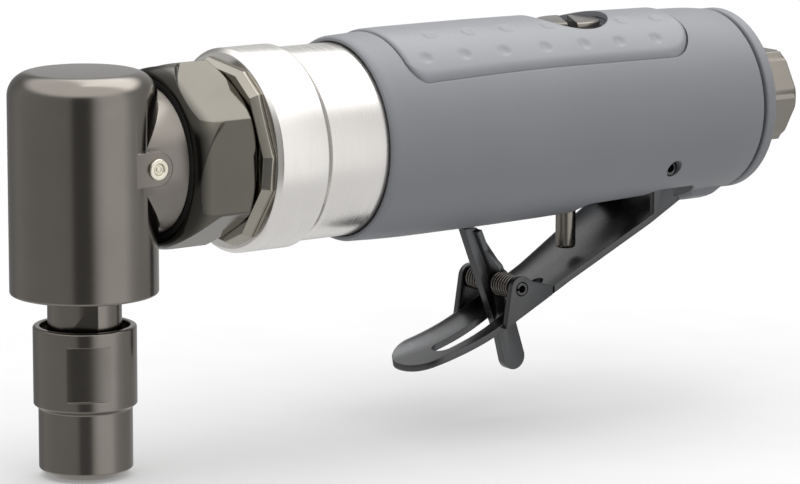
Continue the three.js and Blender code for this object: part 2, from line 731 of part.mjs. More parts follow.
function makeMotorHousing() {
  const h = housing;
  const body = turnedX([
    [0, h.front],
    [h.frontRadius - h.frontChamfer, h.front],
    [h.frontRadius, h.front + h.frontChamfer],
    [h.frontRadius, h.stepX - h.step / 2],
    [h.frontRadius - h.step / 4, h.stepX],
    [h.midRadius, h.stepX + h.step],
    [h.midRadius, h.coreX],
    [h.coreRadius, h.coreX],
    [h.coreRadius, h.coreEnd],
    [h.spigotRadius, h.coreEnd],
    [h.spigotRadius, h.spigotEnd],
    [0, h.spigotEnd],
  ], facets.outer);
  const chamber = rodX(h.frontBore, h.front - overrun, h.chamberEnd, facets.outer);
  const inletHole = join(
    rodX(inletBore.radius, inletBore.depth, h.spigotEnd + overrun),
    rodX(inletBore.passage, valveX, inletBore.depth + overrun, facets.small),
  );
  const airWay = rodX(inletBore.passage / 2, h.chamberEnd - overrun, valveX, facets.fine).translate([0, 0, portZ]);
  const valveHole = join(
    rodZ(regulator.radius + runGap, regulator.shoulder - faceGap, h.coreRadius + overrun),
    rodZ(valve.boreRadius, valve.boreBottom, regulator.shoulder, facets.inner),
    rodZ(valveBush.radius + seatGap, -h.coreRadius - overrun, valve.boreBottom + overrun, facets.inner),
  ).translate([valveX, 0, 0]);
  const exhausts = exhaustAngles.map((angle) => {
    const [[y, z]] = arc(0, 0, exhaustHole.ring, angle, angle, 1);
    return rodX(exhaustHole.radius, h.chamberEnd - overrun, h.coreEnd + overrun, facets.fine).translate([0, y, z]);
  });
  const pinHole = rodY(pivot.radius + seatGap, -h.coreRadius - overrun, h.coreRadius + overrun, facets.small)
    .translate([pivot.x, 0, pivot.z]);
  return cut(body, chamber, inletHole, airWay, valveHole, ...exhausts, pinHole, ...wallSlots());
}

// Upright slots in the core that the side walls of the throttle lever swing in
function wallSlots() {
  const outer = lever.rearHalf + runGap * 2;
  const inner = lever.rearHalf - lever.wallSheet - runGap * 2;
  const front = pivot.x - lever.wallRadius * 2;
  const rear = pivot.x + lever.wallRadius * 2;
  const top = pivot.z + lever.wallRadius + faceGap * 2;
  return [-1, 1].map((side) =>
    block(front, rear, side * inner, side * outer, -housing.coreRadius - overrun, top),
  );
}

place("motor", "motor_housing", makeMotorHousing(), finishes.turnedAluminium);
place("motor", "front_end_plate", cut(makeEndPlate(frontPlateX, true), dowelHole()), finishes.bareSteel);
place("motor", "rotor_front_bearing", makeRotorBearing(frontPlateX, true), finishes.bearingSteel);
place("motor", "dowel_pin", dowelAt(dowel.radius, dowelX, dowelX + dowel.length), finishes.bearingSteel);
place("motor", "cylinder_liner", makeLiner(), finishes.bareSteel);
place("motor", "rotor", makeRotor(), finishes.bareSteel);
vaneAngles.forEach((angle, i) => place("motor", `vane_${i + 1}`, makeVane(angle), finishes.vaneResin));
place("motor", "rear_end_plate", makeEndPlate(rearPlateX, false), finishes.bareSteel);
place("motor", "rotor_rear_bearing", makeRotorBearing(rearPlateX, false), finishes.bearingSteel);

// Grip pieces

function gripOutline(rise = 0) {
  return [
    [grip.lip + rise, grip.start],
    [gripBelly[0][1] + rise - grip.lipRound, grip.start + grip.lipLength],
    ...gripBelly.map(([x, r]) => [r + rise, x]),
    [gripEndRadius + rise, grip.end],
  ];
}

function panelPlan(inset) {
  const p = gripPanel;
  const corner = p.corner - inset;
  const [front, rear] = [p.start + inset, p.end - inset];
  const [wide, narrow] = [p.frontWidth - inset, p.rearWidth - inset];
  const upper = [
    ...arc(rear - corner, narrow - corner, corner, 0, 90, 5),
    [p.taperX, (wide + narrow) / 2],
    ...arc(front + corner / 2, wide - corner / 2, corner / 2, 90, 180, 3),
  ];
  return [...upper, ...upper.map(([x, y]) => [x, -y]).reverse()];
}

function makeGrip() {
  const lipEnd = housing.coreX + faceGap;
  const shell = turnedX(closed([
    ...gripOutline(),
    [grip.inner, grip.end],
    [grip.inner, lipEnd],
    [grip.lipBore, lipEnd],
    [grip.lipBore, grip.start],
  ]), facets.outer);
  const bossRadius = gripBelly[gripBelly.length - 2][1] + gripBoss.rise;
  const boss = turnedX(closed([
    [grip.inner, gripBoss.start],
    [bossRadius, gripBoss.start],
    [bossRadius, gripBoss.end - gripBoss.rearSlope * 2],
    [bossRadius - gripBoss.rearSlope, gripBoss.end],
    [grip.inner, gripBoss.end],
  ]), facets.outer)
    .intersect(block(gripBoss.start, gripBoss.end, -gripBoss.halfWidth, gripBoss.halfWidth, -bossRadius - overrun, 0));
  const reach = gripBelly[1][1] + overrun;
  const underCut = prism("Y", [
    [gripCut.front, -reach],
    [gripCut.front, gripCut.frontZ],
    [gripCut.riseX, gripCut.rise],
    [gripCut.backX, gripCut.rise],
    [gripCut.end, -reach],
  ], -reach, reach);
  const wellHalf = lever.rearHalf + leverWell.clearance;
  const well = block(leverWell.front, leverWell.rear, -wellHalf, wellHalf, -reach, 0);
  const pinHole = rodY(pivot.radius + seatGap, -reach, reach, facets.small).translate([pivot.x, 0, pivot.z]);
  const panelSeat = panelSolid(0, gripPanel.depth + faceGap, reach);
  return cut(join(shell, boss), underCut, well, pinHole, panelSeat, scoopCut(), stemHole());
}

function stemHole() {
  const reach = gripBelly[0][1] + overrun;
  return rodZ(valveBush.radius + seatGap, -reach, -housing.coreRadius / 2).translate([valveX, 0, 0]);
}

function scoopCut() {
  const reach = gripBelly[0][1] + gripPanel.rise + overrun;
  return join(
    rodZ(scoop.radius, scoop.floor, reach).translate([-scoop.forward, 0, 0]),
    rodZ(regulator.radius + runGap, 0, reach),
  ).translate([valveX, 0, 0]);
}

// The part of the grip's skin under the panel's outline, seen from above
function panelSolid(inset, depth, reach) {
  const skin = turnedX(closed([
    ...gripOutline(gripPanel.rise),
    ...gripOutline(-depth).reverse(),
  ]), facets.outer);
  return skin.intersect(prism("Z", panelPlan(inset), 0, reach));
}

function makePanel() {
  const reach = gripBelly[1][1] + overrun;
  const plate = panelSolid(faceGap, gripPanel.depth, reach);
  return cut(plate, scoopCut());
}

place("grip", "grip_shell", makeGrip(), finishes.greyComposite);
place("grip", "grip_panel", makePanel(), finishes.paleComposite);

// Valve and regulator pieces

const leverSlope = radians(lever.slope);
const leverUp = [-Math.sin(leverSlope), Math.cos(leverSlope)];

// Height of the lever's lower edge at X on its straight stretch
function leverLine(x) {
  return lever.bendZ + (x - lever.bendX) * Math.tan(leverSlope);
}

const webTop = leverLine(valveX) + (lever.sheet - lever.dish) / Math.cos(leverSlope);
const stemBottom = webTop + (valve.stemRadius - valve.endRound) * Math.tan(leverSlope) + valve.leverGap;

function makeStem() {
  const v = valve;
  const popBottom = v.boreBottom + faceGap;
  const popTop = popBottom + v.popLength;
  return turnedZ([
    [0, stemBottom],
    [v.stemRadius - v.endRound, stemBottom],
    [v.stemRadius, stemBottom + v.endRound],
    [v.stemRadius, popBottom],
    [v.popRadius, popBottom],
    [v.popRadius, popTop],
    [0, popTop],
  ], facets.inner).translate([valveX, 0, 0]);
}

function makeRegulator() {
  const r = regulator;
  const body = turnedZ([
    [0, r.top],
    [r.radius - r.edgeBreak, r.top],
    [r.radius, r.top - r.edgeBreak],
    [r.radius, r.groove + seal.thickness],
    [seal.radius - seal.thickness / 2, r.groove + seal.thickness],
    [seal.radius - seal.thickness / 2, r.groove - seal.thickness],
    [r.radius, r.groove - seal.thickness],
    [r.radius, r.shoulder],
    [r.plugRadius, r.shoulder],
    [r.plugRadius, r.bottom],
    [r.cup, r.bottom],
    [r.cup, r.cupTop],
    [0, r.cupTop],
  ], facets.inner);
  const half = r.slotWidth / 2;
  const reach = r.radius + overrun;
  const slot = block(-reach, reach, -half, half, r.top - r.slotDepth, r.top + overrun).rotate([0, 0, regulatorSlotAngle]);
  return cut(body, slot).translate([valveX, 0, 0]);
}

const springStart = valve.boreBottom + valve.popLength + 2 * faceGap;
const springEnd = regulator.cupTop - faceGap;
const stepsPerTurn = 8;
const wireSides = 5;

function makeValveSpring() {
  const s = valveSpring;
  const steps = s.turns * stepsPerTurn;
  const bottom = springStart + s.wire / 2;
  const rise = springEnd - springStart - s.wire;
  const points = Array.from({ length: steps + 1 }, (_, i) => {
    const a = (2 * Math.PI * i) / stepsPerTurn;
    return [valveX + s.radius * Math.cos(a), s.radius * Math.sin(a), bottom + (rise * i) / steps];
  });
  console.log("valve_spring least gap", leastGap(points, s.wire, stepsPerTurn).toFixed(2), "mm");
  return tube(points, s.wire / 2, wireSides);
}

// The bush guides the stem; its top is the valve's seat, and a side port leads the air away
function makeValveBush() {
  const b = valveBush;
  const seatFloor = valve.boreBottom - b.seatDepth;
  const body = turnedZ(closed([
    [b.bore, b.bottom],
    [b.radius, b.bottom],
    [b.radius, valve.boreBottom],
    [b.seatBore, valve.boreBottom],
    [b.seatBore, seatFloor],
    [b.bore, seatFloor],
  ]));
  const port = rodX(b.port, -b.radius - overrun, 0, facets.fine).translate([0, 0, portZ]);
  return cut(body, port).translate([valveX, 0, 0]);
}

place("valve", "valve_bush", makeValveBush(), finishes.brass);
place("valve", "valve_stem", makeStem(), finishes.bareSteel);
place("valve", "valve_spring", makeValveSpring(), finishes.springSteel);
place("valve", "regulator", makeRegulator(), finishes.bareSteel);
place(
  "valve",
  "regulator_seal",
  solid(new THREE.TorusGeometry(seal.radius, seal.thickness / 2 - seatGap, facets.fine / 2, facets.inner)
    .translate(valveX, 0, regulator.groove)),
  finishes.blackRubber,
);

// Inlet and exhaust pieces

function makeDeflector() {
  const d = deflector;
  const skirtBore = housing.coreRadius + runGap;
  const wallX = d.end - d.wall;
  const body = turnedX(closed([
    [skirtBore, d.start],
    [d.radius, d.start],
    [d.radius, d.end - d.round],
    [d.radius - d.round, d.end],
    [housing.spigotRadius + runGap, d.end],
    [housing.spigotRadius + runGap, wallX],
    [skirtBore, wallX],
  ]), facets.outer);
  const windows = Array.from({ length: deflectorWindow.count }, (_, i) => {
    const angle = 90 + (i - (deflectorWindow.count - 1) / 2) * deflectorWindow.pitch;
    const [[y, z]] = arc(0, 0, deflectorWindow.ring, angle, angle, 1);
    return rodX(deflectorWindow.radius, wallX - overrun, d.end + overrun, facets.fine).translate([0, y, z]);
  });
  return cut(body, ...windows);
}

function makeInlet() {
  const b = inlet;
  const corner = sliceOfHex(b.flats);
  const hex = prism("X", polygon(6, corner, 0), b.hexStart, b.end).intersect(turnedX([
    [0, b.hexStart],
    [corner, b.hexStart],
    [corner, b.end - (corner - b.cornerRadius) * 2],
    [b.cornerRadius, b.end],
    [0, b.end],
  ], facets.outer));
  const shank = rodX(b.shankRadius, b.shankEnd, b.hexStart + overrun);
  const mouth = turnedX([
    [0, b.boreEnd],
    [b.bore, b.boreEnd],
    [b.bore, b.end - b.mouthChamfer],
    [b.bore + b.mouthChamfer, b.end],
    [b.bore + b.mouthChamfer, b.end + overrun],
    [0, b.end + overrun],
  ]);
  return cut(join(hex, shank), mouth, rodX(b.passage, b.shankEnd - overrun, b.boreEnd + overrun));
}

function makeScreen() {
  const start = inlet.boreEnd + screen.seatStep;
  const disc = rodX(screen.radius, start, start + screen.thickness);
  const holes = Array.from({ length: 7 }, (_, i) => {
    const [[y, z]] = i ? arc(0, 0, screen.ring, i * 60, i * 60, 1) : [[0, 0]];
    return rodX(screen.hole, start - overrun, start + screen.thickness + overrun, facets.fine / 2).translate([0, y, z]);
  });
  return cut(disc, ...holes);
}

place("inlet", "exhaust_deflector", makeDeflector(), finishes.greyComposite);
place("inlet", "inlet_bushing", makeInlet(), finishes.bareSteel);
place("inlet", "inlet_screen", makeScreen(), finishes.brass);

// Throttle lever pieces

const leverCentre = [lever.bendX + lever.bendRadius * leverUp[0], lever.bendZ + lever.bendRadius * leverUp[1]];
const leverTip = leverCentre[0] + lever.bendRadius * Math.sin(radians(lever.tipAngle));

// Half the strip's width at X: it widens towards the pivot
function leverHalf(x) {
  const share = THREE.MathUtils.clamp((x - lever.widenFrom) / (lever.widenTo - lever.widenFrom), 0, 1);
  return lever.halfWidth + share * (lever.rearHalf - lever.halfWidth);
}

// Stations of the pressed strip, from the tip to the pivot end
function leverPath() {
  const l = lever;
  const centre = leverCentre;
  const tipX = leverTip;
  const stations = [];
  for (let i = 1; i <= leverSteps.tip; i++) {
    stations.push(tipX + l.halfWidth * (1 - Math.cos((Math.PI * i) / 2 / leverSteps.tip)));
  }
  const curveStart = stations[stations.length - 1];
  for (let i = 1; i <= leverSteps.along; i++) {
    const share = i / leverSteps.along;
    stations.push(curveStart + (l.bendX - curveStart) * share);
  }
  stations.push(l.widenFrom, l.widenTo, l.rearX);
  return stations.map((x) => {
    const onStraight = x >= l.bendX;
    const slope = onStraight ? leverSlope : Math.asin((x - centre[0]) / l.bendRadius);
    const z = onStraight ? leverLine(x) : centre[1] - l.bendRadius * Math.cos(slope);
    const fromTip = Math.min((x - tipX) / l.halfWidth, 1);
    const full = leverHalf(x);
    const half = full * Math.sqrt(1 - (1 - fromTip) ** 2);
    return { x, z, slope, half, full };
  });
}

// The strip is a dished sheet: lowest along its middle, with its edges on the path
function makeStrip() {
  const l = lever;
  const n = leverSteps.across;
  const vertices = [];
  const path = leverPath();
  for (const { x, z, slope, half, full } of path) {
    for (const lift of [0, l.sheet]) {
      for (let k = 0; k <= n; k++) {
        const y = half * ((2 * k) / n - 1);
        const rise = lift - l.dish * (1 - (y / full) ** 2);
        vertices.push(x - rise * Math.sin(slope), y, z + rise * Math.cos(slope));
      }
    }
  }
  const ring = 2 * (n + 1);
  const loop = [];
  for (let k = 0; k <= n; k++) loop.push(k);
  for (let k = n; k >= 0; k--) loop.push(n + 1 + k);
  const faces = [];
  for (let i = 0; i + 1 < path.length; i++) {
    loop.forEach((a, j) => {
      const b = loop[(j + 1) % loop.length];
      const base = i * ring;
      faces.push(base + a, base + b, base + ring + b, base + a, base + ring + b, base + ring + a);
    });
  }
  const endBase = (path.length - 1) * ring;
  for (let k = 0; k < n; k++) {
    const [a, b, c, d] = [k, k + 1, n + 1 + k, n + 2 + k];
    faces.push(a, d, b, a, c, d);
    faces.push(endBase + a, endBase + b, endBase + d, endBase + a, endBase + d, endBase + c);
  }
  const geometry = new THREE.BufferGeometry();
  geometry.setAttribute("position", new THREE.Float32BufferAttribute(vertices, 3));
  geometry.setIndex(faces);
  return solid(geometry);
}

function sidePlates(outline, halfWidth, sheet) {
  return [-1, 1].map((side) => {
    const [a, b] = [side * halfWidth, side * (halfWidth - sheet)];
    return prism("Y", outline, Math.min(a, b), Math.max(a, b));
  });
}

function makeThrottleLever() {
  const l = lever;
  const seat = l.sheet / 2;
  const ear = [
    [earBase.front, leverBottom(earBase.front) + l.earFoot],
    [earBase.rear, leverBottom(earBase.rear) + l.earFoot],
    [earBase.rear, leverBottom(earBase.rear) + l.sheet * 1.6],
    ...arc(lockPin.x, lockPin.z, l.earRadius, 35, 170, 8),
  ];
  const wall = [
    [l.wallFront, leverLine(l.wallFront) + seat],
    [l.rearX - l.sheet, leverLine(l.rearX - l.sheet) + seat],
    [l.rearX - l.sheet, leverLine(l.rearX) + l.sheet],
    ...arc(pivot.x, pivot.z, l.wallRadius, 0, 250, 12),
    [l.wallFront, pivot.z - l.wallRadius * 1.2],
  ];
  const slotFront = leverTip + leverSlot.fromTip;
  const slotWideEnd = slotFront + leverSlot.wideLength;
  const slotRear = slotFront + leverSlot.length;
  const slot = prism("Z", [
    ...arc(slotFront + leverSlot.halfWidth, 0, leverSlot.halfWidth, 270, 90, 8),
    [slotWideEnd, leverSlot.halfWidth],
    [slotWideEnd + leverSlot.narrowHalf, leverSlot.narrowHalf],
    ...arc(slotRear - leverSlot.narrowHalf, 0, leverSlot.narrowHalf, 90, -90, 6),
    [slotWideEnd + leverSlot.narrowHalf, -leverSlot.narrowHalf],
    [slotWideEnd, -leverSlot.halfWidth],
  ], lever.bendZ - lever.bendRadius / 4, lockPin.z);
  const pinHoles = [
    [lockPin, lockPin.radius + seatGap],
    [pivot, pivot.radius + seatGap],
  ].map(([pin, radius]) =>
    rodY(radius, -l.rearHalf - overrun, l.rearHalf + overrun, facets.small).translate([pin.x, 0, pin.z]),
  );
  const slits = [-1, 1].map((side) => {
    const edge = side * (l.halfWidth + overrun);
    const inner = side * (l.halfWidth - reliefSlit.depth);
    const x = reliefSlit.x;
    return block(x, x + reliefSlit.width, edge, inner, leverLine(x) - overrun * 2, leverLine(x) + l.sheet * 2);
  });
  return cut(join(makeStrip(), ...sidePlates(ear, l.earHalf, l.wallSheet), ...sidePlates(wall, l.rearHalf, l.wallSheet)), slot, ...pinHoles, ...slits);
}

// Height of the lever's lower edge at any X, on the curve or on the straight
function leverBottom(x) {
  if (x >= lever.bendX) return leverLine(x);
  return leverCentre[1] - Math.sqrt(lever.bendRadius ** 2 - (x - leverCentre[0]) ** 2);
}

// A rolled pin along Y: a short tube with a slit
function rolledPin(pin, halfLength) {
  const points = ringProfile(pin.bore, pin.radius, -halfLength, halfLength).map(([r, y]) => new THREE.Vector2(r, y));
  const body = solid(new THREE.LatheGeometry(points, facets.small));
  const slit = block(0, pin.radius + overrun, -halfLength - overrun, halfLength + overrun, -pin.slit / 2, pin.slit / 2);
  return cut(body, slit).translate([pin.x, 0, pin.z]);
}

// Lock lever pieces

function makeLockLever() {
  const hub = arc(lockPin.x, lockPin.z, lock.hubRadius, 60, -60, 6);
  const foot = lockFoot;
  const outline = [
    [lockTop.frontX, lockTop.z],
    [lockTop.rearX, lockTop.z],
    ...hub,
    [foot.rearX, foot.rearZ],
    ...arc(foot.endX, foot.endZ, foot.radius, 15, -165, 8),
    [foot.frontX, foot.frontZ],
  ].reverse();
  const blade = prism("Y", outline, -lock.halfThickness, lock.halfThickness);
  const hole = rodY(lockPin.radius + runGap, -overrun * 2, overrun * 2, facets.small).translate([lockPin.x, 0, lockPin.z]);
  return cut(join(blade, makeLockFlange()), hole);
}

// The narrow flange bent from the blade's rear edge, behind the near spring
function makeLockFlange() {
  const f = lockFlange;
  const run = [lockPin.x - lock.hubRadius / 2 - lockTop.rearX, lockPin.z + lock.hubRadius - lockTop.z];
  const lean = THREE.MathUtils.radToDeg(Math.atan2(run[0], -run[1]));
  const side = -lock.halfThickness;
  const plate = prism("X", [
    [0, -f.topDrop],
    [side - f.topWidth, -f.topDrop],
    [side - f.topWidth, (-f.topDrop - f.bottomDrop) / 2],
    [side - f.bottomWidth, -f.bottomDrop + f.sheet],
    [side - f.bottomWidth, -f.bottomDrop],
    [0, -f.bottomDrop],
  ], -f.sheet, 0);
  return plate.rotate([0, -lean, 0]).translate([lockTop.rearX, 0, lockTop.z]);
}

const springRoom = lever.earHalf - lever.wallSheet - lock.halfThickness - 2 * faceGap;
const springPitch = lockSpring.wire + lockSpring.gap;
const springTurns = Math.floor((springRoom - lockSpring.wire) / springPitch);

// A torsion spring wound round the lock pin between the blade and one ear
function makeLockSpring(side) {
  const s = lockSpring;
  const used = springTurns * springPitch + s.wire;
  const start = lock.halfThickness + faceGap + (springRoom - used) / 2 + s.wire / 2;
  const steps = springTurns * stepsPerTurn;
  const coil = Array.from({ length: steps + 1 }, (_, i) => {
    const a = radians(90 - lever.slope) + (2 * Math.PI * i) / stepsPerTurn;
    const y = side * (start + (springPitch * i) / stepsPerTurn);
    return [lockPin.x + s.radius * Math.cos(a), y, lockPin.z + s.radius * Math.sin(a)];
  });
  console.log("lock_spring least gap", leastGap(coil, s.wire, stepsPerTurn).toFixed(2), "mm");
  return tube(coil, s.wire / 2, wireSides);
}

place("controls", "throttle_lever", makeThrottleLever(), finishes.blackOxide);
place("controls", "lever_pin", rolledPin(pivot, pivot.halfLength), finishes.blackOxide);
place("controls", "lock_lever", makeLockLever(), finishes.blackOxide);
place("controls", "lock_pin", rolledPin(lockPin, lever.earHalf + lockPin.proud), finishes.blackOxide);
place("controls", "lock_spring_near", makeLockSpring(-1), finishes.springSteel);
place("controls", "lock_spring_far", makeLockSpring(1), finishes.springSteel);

// The finished part's origin is under the middle of the whole tool, at its lowest point
const middleX = (inlet.end - head.radius) / 2;
tool.position.set(-middleX, 0, -colletNut.bottom);
const grinder = new THREE.Group();
grinder.name = "right_angle_die_grinder";
grinder.add(tool);

export default grinder;
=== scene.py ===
import json
import math
import bmesh
import bpy
import numpy as np
from mathutils import Matrix, Vector


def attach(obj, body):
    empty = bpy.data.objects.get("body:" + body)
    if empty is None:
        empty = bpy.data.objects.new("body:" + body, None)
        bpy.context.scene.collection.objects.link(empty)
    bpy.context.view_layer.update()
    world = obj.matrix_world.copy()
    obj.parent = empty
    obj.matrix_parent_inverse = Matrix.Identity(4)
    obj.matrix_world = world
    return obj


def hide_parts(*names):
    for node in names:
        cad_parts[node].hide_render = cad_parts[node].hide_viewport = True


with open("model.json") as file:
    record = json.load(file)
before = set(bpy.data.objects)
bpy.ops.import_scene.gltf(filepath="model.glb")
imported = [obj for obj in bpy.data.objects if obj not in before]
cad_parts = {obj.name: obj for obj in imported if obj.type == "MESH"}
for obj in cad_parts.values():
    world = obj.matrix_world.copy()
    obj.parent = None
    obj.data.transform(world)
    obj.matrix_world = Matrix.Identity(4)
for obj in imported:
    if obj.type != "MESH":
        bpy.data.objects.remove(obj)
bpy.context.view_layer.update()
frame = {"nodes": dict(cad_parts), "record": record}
print("frame loaded:", len(frame["nodes"]), "nodes")


# The values of a piece: a dictionary whose entries can also be read with a dot
class Values(dict):
    __getattr__ = dict.__getitem__


# Lengths are millimetres from the point where the spindle axis crosses the motor axis:
# x runs towards the air inlet, z up along the spindle, y away from the camera.
origin = Values(x=72.6, z=56.2)

# The angle in degrees above which an edge stays crisp, how far a cutting tool passes the surface it cuts,
# a distance from the motor axis that lies outside the grip, and the distance at which points merge, in metres
sharpAngle = 32
overrun = 1
outside = 24
mergeDistance = 2e-6


# Mesh helpers

def toScene(points):
    return (np.asarray(points, float) + [-origin.x, 0, origin.z]) / 1000


def toVector(at):
    return Vector(toScene(at).tolist())


# A mesh from points in mm and faces; doubles are merged, normals turned outwards,
# and edges sharper than the given angle stay crisp
def makePiece(name, points, faceSets, sharp=sharpAngle):
    mesh = bpy.data.meshes.new(name)
    faces = [f.tolist() for f in faceSets]
    mesh.from_pydata(toScene(points).tolist(), [], [face for faceSet in faces for face in faceSet])
    bm = bmesh.new()
    bm.from_mesh(mesh)
    bmesh.ops.remove_doubles(bm, verts=bm.verts, dist=mergeDistance)
    bmesh.ops.recalc_face_normals(bm, faces=bm.faces)
    bm.to_mesh(mesh)
    bm.free()
    piece = bpy.data.objects.new(name, mesh)
    bpy.context.scene.collection.objects.link(piece)
    smooth(piece, sharp)
    return piece


def smooth(piece, sharp=sharpAngle):
    piece.data.polygons.foreach_set("use_smooth", np.ones(len(piece.data.polygons), bool))
    piece.data.set_sharp_from_angle(angle=math.radians(sharp))
    piece.data.update()


# Quads of a grid of rows and columns, open or closed in either direction
def gridFaces(rows, columns, closeRows=False, closeColumns=False):
    i = np.arange(rows if closeRows else rows - 1)[:, None]
    j = np.arange(columns if closeColumns else columns - 1)[None]
    i2, j2 = (i + 1) % rows, (j + 1) % columns
    corners = [i * columns + j, i * columns + j2, i2 * columns + j2, i2 * columns + j]
    return np.stack(corners, -1).reshape(-1, 4)


# A line of (a, b, fillet) corners with each corner replaced by an arc tangent to both sides;
# a fillet takes less than half of each side
def roundedLine(corners, closed=False, arcSteps=6, sideShare=0.49):
    points = np.array([c[:2] for c in corners], float)
    out = []
    for i, corner in enumerate(corners):
        fillet = corner[2] if len(corner) > 2 else 0
        p = points[i]
        if not fillet or (not closed and i in (0, len(corners) - 1)):
            out.append(p[None])
            continue
        back, ahead = points[i - 1] - p, points[(i + 1) % len(corners)] - p
        lengths = np.linalg.norm(back), np.linalg.norm(ahead)
        back, ahead = back / lengths[0], ahead / lengths[1]
        half = np.arccos(np.clip(back @ ahead, -1, 1)) / 2
        reach = min(fillet / np.tan(half), sideShare * lengths[0], sideShare * lengths[1])
        middle = (back + ahead) / np.linalg.norm(back + ahead)
        centre = p + middle * reach * np.tan(half) / np.sin(half)
        bend = np.pi - 2 * half
        t = np.linspace(0, 1, arcSteps + 1)[:, None]
        start, end = p + back * reach - centre, p + ahead * reach - centre
        out.append(centre + (np.sin((1 - t) * bend) * start + np.sin(t * bend) * end) / np.sin(bend))
    return np.concatenate(out)


# Points of (radius, station) turned round an axis: (r cos a, r sin a) at each station
def spunPoints(radius, station, angles, axis):
    c, s = radius * np.cos(angles), radius * np.sin(angles)
    station = np.broadcast_to(station, c.shape)
    order = {"x": (station, c, s), "y": (c, station, s), "z": (c, s, station)}
    return np.stack(order[axis], -1)


def anglesAround(steps):
    return np.linspace(0, 2 * np.pi, steps, endpoint=False)


# A solid turned from corners; a line that starts and ends on the axis has poles, any other is a closed ring
def turned(name, corners, axis="x", at=(0, 0, 0), steps=144, arcSteps=6):
    ring = corners[0][0] > 0
    line = roundedLine(corners, ring, arcSteps)
    points = spunPoints(line[:, :1], line[:, 1:], anglesAround(steps)[None], axis) + np.array(at)
    return makePiece(name, points.reshape(-1, 3), [gridFaces(len(line), steps, ring, True)])


# A cylinder used as a cutting tool
def rod(radius, start, end, axis="x", at=(0, 0, 0), steps=64):
    return turned("tool", [(0, start), (radius, start), (radius, end), (0, end)], axis, at, steps)


# A plate: an outline in one plane carried along the axis from start to end
def plate(name, outline, start, end, axis="y"):
    outline = np.asarray(outline, float)
    count = len(outline)
    both = []
    for station in (start, end):
        a, b, s = outline[:, 0], outline[:, 1], np.full(count, float(station))
        both.append(np.stack({"x": (s, a, b), "y": (a, s, b), "z": (a, b, s)}[axis], -1))
    caps = np.stack([np.arange(count)[::-1], np.arange(count) + count])
    return makePiece(name, np.concatenate(both), [gridFaces(2, count, False, True), caps])


def box(x0, x1, y0, y1, z0, z1):
    return plate("tool", [(x0, z0), (x1, z0), (x1, z1), (x0, z1)], y0, y1)


# A plan from x0 to x1, as wide on both sides of the middle plane
def slab(x0, x1, half, corner=0):
    return roundedLine([(x, y, corner) for x, y in ((x0, -half), (x1, -half), (x1, half), (x0, half))], True)


# Corners of a profile, each given by the names of its radius, station and fillet among a piece's values
def cornersOf(values, names):
    values = {"axis": 0, "centre": 0, **values}
    return [[values[name] for name in corner.split()] for corner in names.split(",")]


# A sheet from two grids of points alike in rows and columns, closed by a wall round its rim
def sheetPiece(name, sheets, sharp=sharpAngle):
    rows, columns = sheets[0].shape[:2]
    ids = np.arange(rows * columns).reshape(rows, columns)
    loop = np.concatenate([ids[0, :], ids[1:, -1], ids[-1, -2::-1], ids[-2:0:-1, 0]])
    ahead = np.roll(loop, -1)
    wall = np.stack([loop, loop + ids.size, ahead + ids.size, ahead], -1)
    faces = gridFaces(rows, columns)
    points = np.concatenate([sheet.reshape(-1, 3) for sheet in sheets])
    return makePiece(name, points, [faces, faces[:, ::-1] + ids.size, wall], sharp)


# A round tube along a path of points: rings square to the path, turned by parallel transport
def tubeAlong(name, path, radius, sides=12, sharp=60):
    tangent = np.gradient(path, axis=0)
    tangent /= np.linalg.norm(tangent, axis=1, keepdims=True)
    across = np.cross(tangent, [0.0, 1.0, 0.0])
    across /= np.linalg.norm(across, axis=1, keepdims=True)
    other = np.cross(tangent, across)
    a = anglesAround(sides)[None, :, None]
    rings = path[:, None] + radius * (np.cos(a) * across[:, None] + np.sin(a) * other[:, None])
    caps = np.stack([np.arange(sides)[::-1], np.arange(sides) + (len(path) - 1) * sides])
    return makePiece(name, rings.reshape(-1, 3), [gridFaces(len(path), sides, False, True), caps], sharp)


def arc(cx, cy, radius, start, end, steps):
    a = np.radians(np.linspace(start, end, steps + 1))
    return np.stack([cx + radius * np.cos(a), cy + radius * np.sin(a)], -1)


# The same stretch across the tool on the near and the far side
def bothSides(inner, outer):
    return [sorted((side * inner, side * outer)) for side in (-1, 1)]


def turn(piece, angle, axis, at=(0, 0, 0)):
    centre = toVector(at)
    turning = Matrix.Rotation(math.radians(angle), 4, axis)
    piece.data.transform(Matrix.Translation(centre) @ turning @ Matrix.Translation(-centre))
    return piece


# Cuts tools out of a piece, or joins them to it, and keeps the result as the piece's mesh
def carve(piece, tools, operation="DIFFERENCE"):
    for tool in tools:
        step = piece.modifiers.new("carve", "BOOLEAN")
        step.operation, step.object, step.solver = operation, tool, "EXACT"
    keep(piece)
    for tool in tools:
        bpy.data.objects.remove(tool)
    smooth(piece)
    return piece


def keep(piece):
    evaluated = piece.evaluated_get(bpy.context.evaluated_depsgraph_get())
    made = bpy.data.meshes.new_from_object(evaluated)
    piece.modifiers.clear()
    old, name = piece.data, piece.data.name
    piece.data = made
    bpy.data.meshes.remove(old)
    made.name = name


def bevelEdges(piece, width, angle=35, segments=2):
    step = piece.modifiers.new("edge", "BEVEL")
    step.width, step.segments, step.limit_method = width / 1000, segments, "ANGLE"
    step.angle_limit = math.radians(angle)
    step.miter_outer = "MITER_ARC"
    keep(piece)
    smooth(piece)
    return piece


# Gives a piece its material, the body it moves with, its slot and the node it stands for
def finishPiece(piece, slot, node, body="tool_body", material=None):
    piece.data.materials.clear()
    piece.data.materials.append(material or materials[slot])
    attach(piece, body)
    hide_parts(node)
    return piece


# Material helpers

def toLinear(hexColour):
    parts = [int(hexColour[i:i + 2], 16) / 255 for i in (0, 2, 4)]
    return [p / 12.92 if p <= 0.04045 else ((p + 0.055) / 1.055) ** 2.4 for p in parts] + [1]


def grey(level):
    return [level, level, level, 1]


